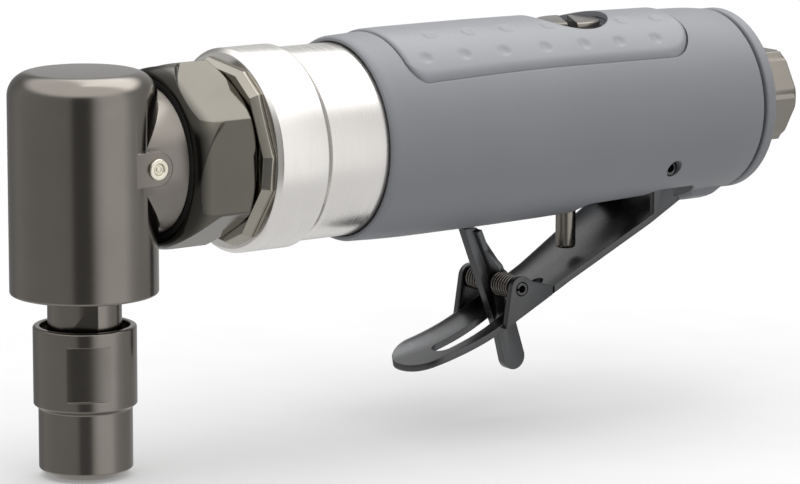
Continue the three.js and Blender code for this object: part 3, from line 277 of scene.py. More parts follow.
# Adds a node with its settings; each input gets its value or the socket linked to it
def addNode(tree, kind, inputs=None, **settings):
    node = tree.nodes.new(kind)
    for key, value in settings.items():
        setattr(node, key, value)
    for key, value in (inputs or {}).items():
        socket = node.inputs[key]
        if isinstance(value, bpy.types.NodeSocket):
            tree.links.new(value, socket)
        else:
            socket.default_value = value
    return node


def rampOf(tree, factor, stops):
    node = addNode(tree, "ShaderNodeValToRGB", {"Fac": factor})
    line = node.color_ramp.elements
    line.remove(line[1])
    line[0].position, line[0].color = stops[0]
    for place, colour in stops[1:]:
        line.new(place).color = colour
    return node.outputs["Color"]


def rangeOf(tree, value, start, end, low=0, high=1, **settings):
    inputs = {"Value": value, "From Min": start, "From Max": end, "To Min": low, "To Max": high}
    return addNode(tree, "ShaderNodeMapRange", inputs, **settings).outputs["Result"]


# Noise with features of a size in mm
def noiseOf(tree, place, size, detail, roughness):
    inputs = {"Vector": place, "Scale": 1000 / size, "Detail": detail, "Roughness": roughness}
    return addNode(tree, "ShaderNodeTexNoise", inputs).outputs["Fac"]


def mixOf(tree, share, first, second, **settings):
    inputs = {"Fac": share, "Color1": first, "Color2": second}
    return addNode(tree, "ShaderNodeMixRGB", inputs, **settings).outputs[0]


def mathOf(tree, operation, *values):
    return addNode(tree, "ShaderNodeMath", dict(enumerate(values)), operation=operation).outputs[0]


def vectorOf(tree, operation, *values, output="Vector"):
    inputs = dict(enumerate(values))
    return addNode(tree, "ShaderNodeVectorMath", inputs, operation=operation).outputs[output]


def objectPlace(tree):
    return addNode(tree, "ShaderNodeTexCoord").outputs["Object"]


def shaderOf(made):
    return next(n for n in made.node_tree.nodes if n.type == "BSDF_PRINCIPLED")


def newMaterial(name):
    made = bpy.data.materials.new(name)
    made.use_nodes = True
    tree = made.node_tree
    tree.nodes.clear()
    shader = addNode(tree, "ShaderNodeBsdfPrincipled")
    addNode(tree, "ShaderNodeOutputMaterial", {"Surface": shader.outputs["BSDF"]})
    return made, tree, shader


# How each kind of surface varies: the size of its colour clouds in mm, the detail of its noises,
# the strength of its bump, and the part of a noise's range that is used
metalKind = Values(cloud=14, cloudRoughness=0.6, grainRoughness=0.55, strength=0.5)
mouldedKind = Values(cloud=22, cloudRoughness=0.5, grainRoughness=0.6, strength=0.6)
noiseLow, noiseHigh = 0.3, 0.7
cloudDetail, grainDetail = 3.0, 2.0
bevelSamples = 6


# Cloudy colour, roughness that varies with a fine grain, a bump of that grain, and edges that look broken
def grainedFinish(name, kind, light, dark, roughness, spread, grain, bump, edge, streak=(1, 1, 1)):
    made, tree, shader = newMaterial(name)
    place = objectPlace(tree)
    stretched = addNode(tree, "ShaderNodeMapping", {"Vector": place, "Scale": streak}).outputs["Vector"]
    cloud = noiseOf(tree, place, kind.cloud, cloudDetail, kind.cloudRoughness)
    fine = noiseOf(tree, stretched, grain, grainDetail, kind.grainRoughness)
    colour = rampOf(tree, cloud, [(noiseLow, toLinear(dark)), (noiseHigh, toLinear(light))])
    rough = rangeOf(tree, fine, noiseLow, noiseHigh, roughness - spread, roughness + spread)
    broken = addNode(tree, "ShaderNodeBevel", {"Radius": edge / 1000}, samples=bevelSamples)
    bumped = addNode(tree, "ShaderNodeBump", {
        "Height": fine, "Distance": bump / 1000, "Strength": kind.strength,
        "Normal": broken.outputs["Normal"],
    }).outputs["Normal"]
    tree.links.new(colour, shader.inputs["Base Color"])
    tree.links.new(rough, shader.inputs["Roughness"])
    tree.links.new(bumped, shader.inputs["Normal"])
    return made


def metalFinish(name, light, dark, roughness, spread, grain, bump, edge=0.25, streak=(1, 1, 1)):
    made = grainedFinish(name, metalKind, light, dark, roughness, spread, grain, bump, edge, streak)
    shaderOf(made).inputs["Metallic"].default_value = 1
    return made


def mouldedFinish(name, light, dark, roughness, grain, bump, spread=0.05, edge=0.3, ior=1.5):
    made = grainedFinish(name, mouldedKind, light, dark, roughness, spread, grain, bump, edge)
    shaderOf(made).inputs["IOR"].default_value = ior
    return made


# Colours, roughness and its spread, then the grain's size and the bump's height in mm.
# Steel coated dark bronze is smooth and mirrors softly; on the machined nut it is glossier and greener
bronzeCoat = ("8a857f", "847f78", 0.18, 0.02, 0.5, 0.0015)
nutCoat = ("69665e", "64615a", 0.12, 0.02, 0.5, 0.001)
# On the jam ring the same coating is painted lighter: painted light making up for the dim reflection on the
# ring's facets
ringCoatPaintedLight = ("a8a499", "9f9b90", 0.15, 0.02, 0.5, 0.001)
turningLines = (1, 0.02, 0.02)

materials = {
    "bronzed_steel": metalFinish("coatedSteel", *bronzeCoat),
    "polished_bronze": metalFinish("coatedNutSteel", *nutCoat),
    # Turned aluminium: satin, with fine rings round the motor axis from the tool
    "turned_aluminium": metalFinish(
        "turnedAluminium", "f3f0ec", "ebe8e4", 0.25, 0.04, 0.35, 0.004, streak=turningLines),
    # Glass filled nylon moulding: satin grey with a fine spark grain
    "grey_composite": mouldedFinish("mouldedGrip", "898b90", "85878b", 0.48, 0.35, 0.02),
    "pale_composite": mouldedFinish("mouldedPanel", "8e9095", "8a8c91", 0.36, 0.35, 0.01),
    # Pressed and blackened steel: semi gloss
    "black_oxide": metalFinish("blackenedSteel", "5f6062", "585858", 0.3, 0.03, 0.6, 0.001, edge=0.2),
    # Machined steel, left bright and a little oily
    "bare_steel": metalFinish("machinedSteel", "938e87", "8b867e", 0.22, 0.03, 0.4, 0.0012),
    "bearing_steel": metalFinish("groundSteel", "c0c3c7", "b4b7bb", 0.2, 0.04, 0.4, 0.004),
    "spring_steel": metalFinish("springWire", "8a8580", "7b7671", 0.25, 0.04, 0.3, 0.001, edge=0.05),
    "brass": metalFinish("paleBrass", "efece0", "e2dcc8", 0.25, 0.05, 0.4, 0.006, edge=0.1),
    "black_rubber": mouldedFinish("blackRubber", "1d1d1d", "171717", 0.7, 0.3, 0.02),
    # Resin and fabric laminate of the vanes: brown, dull
    "vane_resin": mouldedFinish("laminateResin", "6b5233", "54402a", 0.6, 0.5, 0.03),
}
slotOf = {row["node"]: row["material_slot"] for row in frame["record"]["subparts"]}
for nodeName, node in frame["nodes"].items():
    node.data.materials.clear()
    node.data.materials.append(materials[slotOf[nodeName]])
print("materials:", len(materials))


# Angle head

head = Values(
    radius=13.5, top=17.3, bottom=-23.1, topFillet=4.4, bottomEdge=0.5,
    bore=10.6, boreTop=8, seat=6.4, seatTop=13.6,
    neck=12.8, neckBore=8.4, flareStart=12.3, flare=13.6, flareEnd=13.95, flareEdge=0.15,
    recess=14.6, flange=13.9, flangeEnd=15.7, spigot=12.5, end=19,
    satin=0.12, satinStart=13.55, satinEnd=13.8,
    padX=7.7, padZ=0.5, padHalf=3.1, padStart=2.8, padFace=13.1,
    fittingBore=1.15, fittingDepth=2.3,
)


# The head's coating, blasted satin outside the barrel: roughness grows with distance from the spindle axis
def headFinish():
    made = metalFinish("coatedHeadSteel", *bronzeCoat)
    tree, shader = made.node_tree, shaderOf(made)
    rough = shader.inputs["Roughness"].links[0].from_socket
    centred = vectorOf(tree, "ADD", objectPlace(tree), (origin.x / 1000, 0, 0))
    level = vectorOf(tree, "MULTIPLY", centred, (1, 1, 0))
    away = vectorOf(tree, "LENGTH", level, output="Value")
    satin = rangeOf(tree, away, head.satinStart / 1000, head.satinEnd / 1000, 0, head.satin)
    tree.links.new(mathOf(tree, "ADD", rough, satin), shader.inputs["Roughness"])
    return made


def makeAngleHead():
    h = head
    barrel = turned("angleHead", cornersOf(
        h, "axis bottom, radius bottom bottomEdge, radius top topFillet, axis top"
    ), "z", steps=192, arcSteps=16)
    neck = turned("neck", cornersOf(
        h, "axis centre, neck centre, neck flareStart, flare flareEnd flareEdge, flare recess, "
           "flange recess, flange flangeEnd, spigot flangeEnd, spigot end, axis end"), steps=192)
    pad = plate("pad", np.concatenate([
        [(h.padStart, h.padZ - h.padHalf)],
        arc(h.padX, h.padZ, h.padHalf, -90, 90, 24),
        [(h.padStart, h.padZ + h.padHalf)],
    ]), -h.padFace, -h.neck / 2)
    carve(barrel, [neck, pad], "UNION")
    fittingHole = (-h.padFace - overrun, -h.padFace + h.fittingDepth)
    carve(barrel, [
        rod(h.bore, h.bottom - overrun, h.boreTop, "z", steps=96),
        rod(h.seat, h.boreTop - overrun, h.seatTop, "z"),
        rod(h.neckBore, 0, h.end + overrun),
        rod(h.fittingBore, *fittingHole, "y", (h.padX, 0, h.padZ)),
    ])
    return finishPiece(barrel, "bronzed_steel", "angle_housing", material=headFinish())


# Places along y are measured from the face of the pad
greaseFitting = Values(
    radius=1.95, face=-0.6, seat=-0.05, seatEdge=0.05, shank=1, depth=2, outerEdge=0.25, innerEdge=0.1,
    rim=1.14, cup=0.9, cupFloor=-0.15, ball=0.6, crown=0.54, crownTop=-0.4, ballTop=-0.55,
)


# A cupped button with a ball in its middle, turned round y
def makeGreaseFitting():
    piece = turned("greaseFitting", cornersOf(
        greaseFitting, "axis depth, shank depth, shank seat, radius seat seatEdge, radius face outerEdge, "
                       "rim face innerEdge, cup cupFloor innerEdge, ball cupFloor, "
                       "crown crownTop innerEdge, axis ballTop"), "y", (head.padX, -head.padFace, head.padZ), 64)
    return finishPiece(piece, "brass", "grease_fitting")


bearingCap = Values(bore=7.1, radius=10.45, bottom=-23.1, top=-19.9, edge=0.3)


def makeBearingCap():
    corners = cornersOf(bearingCap, "bore bottom edge, radius bottom edge, radius top, bore top")
    piece = turned("bearingCap", corners, "z")
    return finishPiece(piece, "bronzed_steel", "bearing_cap")


makeAngleHead()
makeGreaseFitting()
makeBearingCap()
print("angle head made")


# Spindle and collet nut; their corners are (radius, z, fillet)

spindle = Values(
    neck=6.75, flat=11.6, flatTop=-23.4, threadTop=-31, angle=228.9,
    corners=[
        (0, 13.2), (2.9, 13.2, 0.3), (2.9, 8), (3.2, 8), (3.2, 0), (3.6, 0), (3.6, -9.4), (5, -9.4, 0.3),
        (5, -19.6), (6.75, -19.6, 0.2), (6.75, -31), (6.3, -31), (6.3, -46, 0.3), (5.7, -46), (4.7, -38),
        (4.7, -28), (0, -28),
    ],
)
colletNut = Values(
    flats=17, flatTop=-31.5, flatBottom=-41.5, angle=243.5, radius=9.42,
    corners=[
        (8.2, -28.9, 0.15), (9.42, -28.9, 0.45), (9.42, -43.25, 0.25), (8.55, -43.95, 0.3),
        (8.55, -55, 0.3), (7.16, -56.2, 0.25), (4.4, -56.2, 0.4), (4.4, -50.1), (5.7, -46),
        (6.55, -46), (6.55, -31.3), (8.2, -31.3),
    ],
)


def twoFlats(size, across, bottom, top, angle):
    reach = size + overrun
    return [turn(box(low, high, -reach, reach, bottom, top), angle, "Z")
            for low, high in bothSides(across / 2, reach)]


def makeSpindle():
    s = spindle
    piece = turned("spindle", s.corners, "z", steps=160)
    carve(piece, twoFlats(s.neck, s.flat, s.threadTop, s.flatTop, s.angle))
    return finishPiece(piece, "bronzed_steel", "spindle", "spindle_unit")


def makeColletNut():
    n = colletNut
    piece = turned("colletNut", n.corners, "z", steps=192)
    carve(piece, twoFlats(n.radius, n.flats, n.flatBottom, n.flatTop, n.angle))
    return finishPiece(piece, "bronzed_steel", "collet_nut", "collet_nut_unit")


makeSpindle()
makeColletNut()
print("spindle and collet nut made")


# Coupling nut, seal, lock ring and adapter

couplingNut = Values(
    front=13.8, rear=27.65, lip=14.9, lipOuter=15.3, lipDepth=0.3,
    radius=17.2, apothem=14.95, domeEnd=19.2, bore=12.9, boreStart=16,
    rearRadius=14.9, rearChamfer=1.4, flatStart=15.7, cutter=17.5, shift=3.9,
    turn=1.3, flank=0.35, flankLimit=2, soften=0.12, gap=0.15,
    # The nose's painted shade: where it ends along x, and its levels from the front to there
    paintedShadeEnd=18, nose=[(0, 0.2), (0.4, 0.3), (0.6, 0.5), (0.8, 0.8), (1, 1)],
    domeSteps=90, bodySteps=40, chamferSteps=8, around=480, sharp=50,
)


# The nut's coating with painted shade on its turned nose, standing in for the dark head it mirrors there: the
# colour is multiplied by a ramp along x
def nutFinishWithPaintedShade():
    n = couplingNut
    made = metalFinish("nutSteelPaintedNoseShade", *nutCoat)
    tree, shader = made.node_tree, shaderOf(made)
    colour = shader.inputs["Base Color"].links[0].from_socket
    x = addNode(tree, "ShaderNodeSeparateXYZ", {0: objectPlace(tree)}).outputs["X"]
    start, end = ((n[k] - origin.x) / 1000 for k in ("front", "paintedShadeEnd"))
    shade = rampOf(tree, rangeOf(tree, x, start, end), [(place, grey(level)) for place, level in n.nose])
    tree.links.new(mixOf(tree, 1.0, colour, shade, blend_type="MULTIPLY"), shader.inputs["Base Color"])
    return made


# Outer profile of the nut along x: a domed nose, a straight body and a rear chamfer
def nutProfile():
    n = couplingNut
    t = np.linspace(0, np.pi / 2, n.domeSteps)
    chamferStart = n.rear - n.rearChamfer
    dome = np.stack([n.domeEnd - np.cos(t) * (n.domeEnd - n.front),
                     n.lipOuter + np.sin(t) * (n.radius - n.lipOuter)], -1)
    along = np.linspace(n.domeEnd + n.gap, chamferStart - n.gap, n.bodySteps)
    body = np.stack([along, np.full(n.bodySteps, n.radius)], -1)
    slant = np.linspace(0, 1, n.chamferSteps)[:, None]
    chamfer = (1 - slant) * [chamferStart, n.radius] + slant * [n.rear, n.rearRadius]
    return np.concatenate([dome, body, chamfer])


# Outer radius = soft least of the profile and six flats. Each flat is cut by a disc cutter set to one side;
# outside the disc it rises as distance squared over twice the flank radius, so it fades out along a curve
def makeCouplingNut(passes=12):
    n = couplingNut
    line = nutProfile()
    bore = np.array([(n.rear, n.bore), (n.boreStart, n.bore), (n.boreStart, n.lip),
                     (n.front + n.lipDepth, n.lip)])
    angles = anglesAround(n.around)
    toFlat = (angles + np.pi / 6) % (np.pi / 3) - np.pi / 6
    x, radius = line[:, :1], line[:, 1:]
    cutRadius = n.apothem / np.cos(toFlat)[None] + 0 * x
    for _ in range(passes):
        fromAxis = np.hypot(x - n.flatStart - n.cutter, cutRadius * np.sin(toFlat) - n.shift)
        rise = np.maximum(fromAxis - n.cutter, 0) ** 2 / (2 * n.flank)
        cutRadius = np.minimum((n.apothem + rise) / np.cos(toFlat), n.radius + n.flankLimit)
    blend = np.maximum(n.soften - np.abs(radius - cutRadius), 0) ** 2 / (4 * n.soften)
    outer = np.minimum(radius, cutRadius) - blend
    whole = np.concatenate([outer, np.broadcast_to(bore[:, 1:], (len(bore), len(angles)))])
    stations = np.concatenate([line[:, 0], bore[:, 0]])[:, None]
    points = spunPoints(whole, stations, angles[None] + np.pi + math.radians(n.turn), "x")
    faces = gridFaces(len(whole), len(angles), True, True)
    piece = makePiece("couplingNut", points.reshape(-1, 3), [faces], n.sharp)
    return finishPiece(piece, "polished_bronze", "coupling_nut", material=nutFinishWithPaintedShade())


jamRing = Values(
    start=27.8, end=29.95, bore=12.9, frontCorner=16.65, corner=17.5, taperEnd=29.3,
    taperEdge=0.3, edge=0.12, firstCorner=-6.5, cornerHalf=10, around=720, sharp=24,
)


# A hexagon with cut corners that tapers forward: in each sector the radius is the corner radius times
# the cosine of half the sector over the cosine of the angle to its middle
def makeJamRing():
    r = jamRing
    angles = anglesAround(r.around)
    around = (np.degrees(angles) - r.firstCorner + r.cornerHalf) % 60
    onCorner = around < 2 * r.cornerHalf
    half = np.where(onCorner, r.cornerHalf, 30 - r.cornerHalf)
    toMiddle = around - np.where(onCorner, r.cornerHalf, 30 + r.cornerHalf)
    outline = np.cos(np.radians(half)) / np.cos(np.radians(toMiddle))
    line = roundedLine(cornersOf(
        r, "bore start, frontCorner start edge, corner taperEnd taperEdge, corner end edge, bore end"))
    onOutside = (line[:, 0] > (r.bore + r.frontCorner) / 2)[:, None]
    radius = np.where(onOutside, line[:, :1] * outline[None], line[:, :1])
    points = spunPoints(radius, line[:, 1:], angles[None] + np.pi, "x")
    points[..., 2] *= -1
    faces = gridFaces(len(line), len(angles), True, True)
    piece = makePiece("jamRing", points.reshape(-1, 3), [faces], r.sharp)
    # Its material is the lighter copy of the coated steel, painted light
    return finishPiece(piece, "bronzed_steel", "jam_ring", material=metalFinish("coatedRingSteelPaintedLight", *ringCoatPaintedLight))


# A black rubber seal behind the nut's lip; its black also stands in as painted shade, a dark ring put where the
# gap between neck and nut is shaded
shadeGapSeal = Values(inner=13.7, outer=14.75, start=14.1, end=14.5, edge=0.2)
adapter = Values(
    bore=6.5, thread=12.5, start=19.3, edge=0.4, collar=14.3, collarStart=29.7, end=33,
)


# The seal ring: a dark part that also stands in as painted shade in the gap
def makeShadeGapSeal():
    piece = turned("shadeGapSeal", cornersOf(shadeGapSeal, "inner start, outer start edge, outer end, inner end"))
    return finishPiece(piece, "black_rubber", "dust_seal")


def makeAdapter():
    piece = turned("threadedAdapter", cornersOf(
        adapter, "bore start, thread start edge, thread collarStart, collar collarStart, "
                 "collar end, bore end"))
    return finishPiece(piece, "bare_steel", "threaded_adapter")


makeCouplingNut()
makeJamRing()
makeShadeGapSeal()
makeAdapter()
print("coupling made")


# Motor housing

housing = Values(
    front=30, radius=18.9, frontEdge=0.8, bore=14.5, chamberEnd=86,
    stepX=41, step=0.9, mid=18.05, groove=0.25, grooveLead=0.4, edge=0.3, fineEdge=0.2,
    coreX=55.2, core=16.4, end=145.3, spigot=9.2, spigotEnd=146.7,
    thread=6.7, threadStart=123.5, threadEnd=148, passage=3.6,
    airBore=1.8, airStart=85, airZ=-7, reach=18,
    valveX=108.8, regulatorBore=7.05, regulatorSeat=12.3,
    valveBore=5, valveFloor=-4, valveTop=12.6, bushBore=4.75, bushTop=-3,
    pivotX=123, pivotZ=-10, pivotBore=1.65,
    slotHalf=8.6, slotTop=-5.1, slotInner=7.95, slotOuter=10.3,
)


def makeHousing():
    h = housing
    piece = turned("motorHousing", [
        (0, h.front), (h.radius - h.frontEdge, h.front, h.fineEdge),
        (h.radius, h.front + h.frontEdge, h.edge),
        (h.radius, h.stepX - h.grooveLead, h.edge),
        (h.radius - h.groove, h.stepX, h.fineEdge),
        (h.mid, h.stepX + h.step, h.edge), (h.mid, h.coreX, h.fineEdge),
        (h.core, h.coreX), (h.core, h.end), (h.spigot, h.end),
        (h.spigot, h.spigotEnd), (0, h.spigotEnd),
    ], steps=192)
    overValve = (h.valveX, 0, 0)
    slotStart, slotEnd = h.pivotX - h.slotHalf, h.pivotX + h.slotHalf
    slots = [box(slotStart, slotEnd, low, high, -h.reach, h.slotTop)
             for low, high in bothSides(h.slotInner, h.slotOuter)]
    carve(piece, [
        rod(h.bore, h.front - overrun, h.chamberEnd, steps=96),
        rod(h.thread, h.threadStart, h.threadEnd),
        rod(h.passage, h.valveX, h.threadStart + overrun),
        rod(h.airBore, h.airStart, h.valveX, at=(0, 0, h.airZ)),
        rod(h.regulatorBore, h.regulatorSeat, h.reach, "z", overValve),
        rod(h.valveBore, h.valveFloor, h.valveTop, "z", overValve),
        rod(h.bushBore, -h.reach, h.bushTop, "z", overValve),
        rod(h.pivotBore, -h.reach, h.reach, "y", (h.pivotX, 0, h.pivotZ)), *slots,
    ])
    return finishPiece(piece, "turned_aluminium", "motor_housing")


makeHousing()
print("motor housing made")


# Grip and its panel. The belly's points are (x, radius), the undercut's are (x, z, fillet)

grip = Values(
    start=54.5, end=143.8, inner=16.7, lipBore=18.3, lipEnd=55.5, lipEdge=0.15,
    round=0.5, rearEdge=1.2, frontDrop=0.35, frontInset=0.4, rearInset=1.4,
    belly=[
        (55.3, 19.2), (58, 19.4), (66, 19.6), (86, 19.5), (98, 19.3), (110, 19), (126, 18.6), (138, 18.3),
        (142, 18), (143.8, 17.5),
    ],
    underCut=[
        (114.5, -24), (114.5, -17.2), (118.2, -16.4, 3), (122.4, -14.7, 2.5), (132.4, -14.7, 1.2),
        (133.3, -24),
    ],
    wellHalf=10.3, wellFront=105.6, wellRear=133, wellCorner=2,
    stemBore=4.75, stemTop=-8, stations=90, steps=240,
)
boss = Values(
    start=133.3, end=141, radius=19.3, half=8, sink=0.2, edge=1.2, slope=2.4,
    round=3, drop=1.2, foot=0.6, bottom=-21,
)
panel = Values(
    start=61.8, end=130.5, frontHalf=15.9, rearHalf=14.6, taperX=92, corner=7,
    rise=0.45, depth=0.9, lift=0.2, gap=0.25, rim=0.9, rimDrop=0.5,
    dimpleRadius=1.45, dimpleDepth=0.32,
    # Places of the dimples along x in each row, by the row's angle above the horizontal
    dimples={
        52: [66.7, 75.6, 84.7, 94.5, 103.7, 112.2, 121.2],
        71: [71.6, 80.5, 89.4, 99.2, 117.1, 125.5],
    },
    rows=150, planRows=60, frontRows=12, rearRows=16, columns=121, sharp=40,
)
scoop = Values(x=108.8, forward=1.1, radius=8.6, floor=17, well=7.05)


# Radius of the grip's skin at x: straight between the belly's points, then smoothed over twice the reach
def skinRadius(x, reach=3, samples=13):
    belly = np.array(grip.belly)
    offsets = np.linspace(-reach, reach, samples)
    return np.mean([np.interp(np.asarray(x, float) + o, belly[:, 0], belly[:, 1]) for o in offsets], 0)


# Half the panel's width in plan at x, with rounded corners at both ends
def panelHalf(x, inset=0):
    p = panel
    front, rear = p.start + inset, p.end - inset
    frontCorner = p.corner / 2
    widths = [p.frontHalf, (p.frontHalf + p.rearHalf) / 2, p.rearHalf]
    side = np.interp(x, [p.start, p.taperX, p.end], widths) - inset
    rearIn = np.clip((x - (rear - p.corner)) / p.corner, 0, 1)
    frontIn = np.clip((front + frontCorner - x) / frontCorner, 0, 1)
    rearLoss = p.corner * (1 - np.sqrt(1 - rearIn ** 2))
    frontLoss = frontCorner * (1 - np.sqrt(1 - frontIn ** 2))
    return side - rearLoss - frontLoss


# Even places along the panel, with closer ones at its ends
def panelStations(inset, count):
    t = np.linspace(0, np.pi, count)
    front, rear = panel.start + inset, panel.end - inset
    even = np.linspace(front, rear, count)
    eased = (front + rear) / 2 - (rear - front) / 2 * np.cos(t)
    return np.unique(np.concatenate([even, eased[:panel.frontRows], eased[-panel.rearRows:]]))


def panelOutline(inset):
    x = panelStations(inset, panel.planRows)
    half = panelHalf(x, inset)
    return np.concatenate([np.stack([x, half], -1), np.stack([x, -half], -1)[::-1]])


# The scoop round the regulator and the regulator's well
def scoopTools():
    return [
        rod(scoop.radius, scoop.floor, outside, "z", (scoop.x - scoop.forward, 0, 0), 96),
        rod(scoop.well, 0, outside, "z", (scoop.x, 0, 0), 96),
    ]


def makeBoss():
    b, root = boss, grip.inner + boss.sink
    piece = turned("boss", [
        (root, b.start), (b.radius, b.start, b.edge),
        (b.radius, b.end - b.slope, b.round), (b.radius - b.drop, b.end, b.foot),
        (root, b.end),
    ], steps=192)
    under = plate("tool", slab(b.start - overrun, b.end + overrun, b.half), b.bottom, 0, "z")
    return carve(piece, [under], "INTERSECT")


# What the panel's seat takes out of the skin: the panel's plan, down to the panel's depth
def panelSeat():
    xs = np.linspace(grip.start - overrun, grip.end + overrun, 80)
    core = [(0, xs[0])] + [(skinRadius(v) - panel.depth, v) for v in xs] + [(0, xs[-1])]
    seat = plate("tool", panelOutline(0), 0, outside, "z")
    return carve(seat, [turned("tool", core, steps=grip.steps)])


def makeGripShell():
    g = grip
    x = np.linspace(g.start + g.round + g.frontInset, g.end - g.rearInset, g.stations)
    piece = turned("gripShell", [
        (g.inner, g.lipEnd), (g.lipBore, g.lipEnd), (g.lipBore, g.start, g.lipEdge),
        (skinRadius(g.start) - g.frontDrop, g.start, g.round),
        *[(skinRadius(v), v) for v in x],
        (skinRadius(g.end), g.end, g.rearEdge), (g.inner, g.end),
    ], steps=g.steps)
    carve(piece, [makeBoss()], "UNION")
    well = slab(g.wellFront, g.wellRear, g.wellHalf, g.wellCorner)
    carve(piece, [
        plate("tool", roundedLine(g.underCut, True), -outside, outside),
        plate("tool", well, -outside, 0, "z"),
        panelSeat(),
        rod(housing.pivotBore, -outside, outside, "y", (housing.pivotX, 0, housing.pivotZ)),
        *scoopTools(),
        rod(g.stemBore, -outside, g.stemTop, "z", (scoop.x, 0, 0)),
    ])
    return finishPiece(piece, "grey_composite", "grip_shell")


# How far the panel's top rises above the skin: rounded down at its rim, with round dents
def panelRise(x, y, half):
    p = panel
    toEnd = np.minimum(x - p.start - p.gap, p.end - p.gap - x)
    toEdge = np.minimum(half - np.abs(y), toEnd)
    cornerX = np.clip(x - (p.end - p.gap - p.corner), 0, None)
    cornerY = np.clip(np.abs(y) - (p.rearHalf - p.gap - p.corner), 0, None)
    inCorner = (cornerX > 0) & (cornerY > 0)
    toCorner = np.where(inCorner, p.corner - np.hypot(cornerX, cornerY), toEdge)
    toEdge = np.clip(np.minimum(toEdge, toCorner) / p.rim, 0, 1)
    rise = p.rise - p.rimDrop * (1 - np.sqrt(1 - (1 - toEdge) ** 2))
    radius = skinRadius(x) + rise
    angle = np.arcsin(np.clip(y / radius, -1, 1))
    for degrees, places in p.dimples.items():
        for side in (-1, 1):
            around = (angle - side * np.radians(90 - degrees)) * radius
            for place in places:
                away = np.hypot(x - place, around) / p.dimpleRadius
                rise = rise - p.dimpleDepth * np.clip(1 - away ** 2, 0, 1)
    return rise


# The panel: a sheet over its plan, from the seat's depth up to the raised skin
def makeGripPanel():
    p = panel
    x = panelStations(p.gap, p.rows)[:, None]
    even = np.linspace(-1, 1, p.columns)[None]
    v = (np.sin(even * np.pi / 2) + even) / 2
    half = panelHalf(x, p.gap)
    y = v * half
    x = np.broadcast_to(x, y.shape)
    top = skinRadius(x) + panelRise(x, y, half)
    bottom = skinRadius(x) - p.depth + p.lift
    sheets = [np.stack([x, y, np.sqrt(np.maximum(r ** 2 - y ** 2, 0))], -1) for r in (top, bottom)]
    piece = sheetPiece("gripPanel", sheets, p.sharp)
    carve(piece, scoopTools())
    return finishPiece(piece, "pale_composite", "grip_panel")


makeGripShell()
makeGripPanel()
print("grip made")


# Regulator and valve stem

regulator = Values(
    radius=6.3, top=18.4, edge=0.4, fineEdge=0.1, slotWidth=1.9, slotDepth=2.2,
    slotAngle=62, groove=5.3, grooveTop=16.1, grooveBottom=13.9, shoulder=12.6,
    shank=4.6, bottom=7, cup=3.1, cupTop=11.4, slotHalf=9, slotTop=21,
)
stem = Values(
    radius=1.95, bottom=-26.28, tip=0.7,
    head=3.8, headBottom=-3.7, headTop=-1.7, edge=0.2,
)


def makeRegulator():
    r, at = regulator, (scoop.x, 0, 0)
    piece = turned("regulator", cornersOf(
        r, "axis top, radius top edge, radius grooveTop fineEdge, groove grooveTop, groove grooveBottom, "
           "radius grooveBottom fineEdge, radius shoulder, shank shoulder, shank bottom, cup bottom, "
           "cup cupTop, axis cupTop"), "z", at, 144)
    half, depth = r.slotWidth / 2, r.top - r.slotDepth
    slot = box(scoop.x - r.slotHalf, scoop.x + r.slotHalf, -half, half, depth, r.slotTop)
    carve(piece, [turn(slot, r.slotAngle, "Z", at)])
    return finishPiece(piece, "bare_steel", "regulator", "regulator_unit")


def makeStem():
    piece = turned("valveStem", cornersOf(
        stem, "axis bottom, radius bottom tip, radius headBottom, head headBottom edge, head headTop edge, "
              "axis headTop"), "z", (scoop.x, 0, 0), 64)
    return finishPiece(piece, "bare_steel", "valve_stem", "valve_unit")


makeRegulator()
makeStem()
print("regulator and stem made")


# Inlet end

deflector = Values(
    start=144.5, end=146.9, radius=17.7, skirtBore=16.65, wall=1.2, bore=9.45,
    frontEdge=0.5, rearEdge=0.6, boreEdge=0.2,
    windows=7, window=1.5, pitch=14, ring=13.1,
)
inlet = Values(
    hexStart=147.2, end=158.7, flats=17.5, chamfer=9.7, chamferSlope=2, spare=0.2,
    shank=6.5, shankEnd=124.2, shankEdge=0.4, hexEdge=0.2, faceInset=0.5, faceEdge=0.3,
    bore=5.6, boreEnd=131, mouth=0.9, mouthEdge=0.1, passage=3.9, around=360, sharp=24,
)


def makeDeflector():
    d = deflector
    inside = d.end - d.wall
    piece = turned("exhaustDeflector", cornersOf(
        {"inside": inside, **d}, "skirtBore start, radius start frontEdge, radius end rearEdge, "
                                 "bore end boreEdge, bore inside, skirtBore inside"), steps=192)
    holes = []
    for i in range(d.windows):
        a = math.radians(90 + (i - (d.windows - 1) / 2) * d.pitch)
        at = (0, d.ring * math.cos(a), d.ring * math.sin(a))
        holes.append(rod(d.window, inside - overrun, d.end + overrun, at=at, steps=32))
    carve(piece, holes)
    return finishPiece(piece, "grey_composite", "exhaust_deflector", "deflector_unit")


# A turned bushing with six flats: radius = least of the profile and half the flats over the cosine
# of the angle to the nearest flat
def makeInlet():
    b = inlet
    half = b.flats / 2
    corner = half / math.cos(math.pi / 6)
    line = roundedLine([
        *cornersOf(b, "passage shankEnd, shank shankEnd shankEdge, shank hexStart"),
        (corner, b.hexStart, b.hexEdge),
        (corner + b.spare, b.end - (corner - b.chamfer) * b.chamferSlope),
        (b.chamfer - b.faceInset, b.end, b.faceEdge),
        (b.bore + b.mouth, b.end, b.mouthEdge), (b.bore, b.end - b.mouth),
        *cornersOf(b, "bore boreEnd, passage boreEnd"),
    ], True)
    angles = anglesAround(b.around)
    toFlat = angles % (np.pi / 3) - np.pi / 6
    radius = np.minimum(line[:, :1], half / np.cos(toFlat)[None])
    points = spunPoints(radius, line[:, 1:], angles[None], "x")
    faces = gridFaces(len(line), len(angles), True, True)
    piece = makePiece("inletBushing", points.reshape(-1, 3), [faces], b.sharp)
    return finishPiece(piece, "bare_steel", "inlet_bushing")


makeDeflector()
makeInlet()
print("inlet end made")


# Throttle lever. Angles of arcs are degrees from x towards z

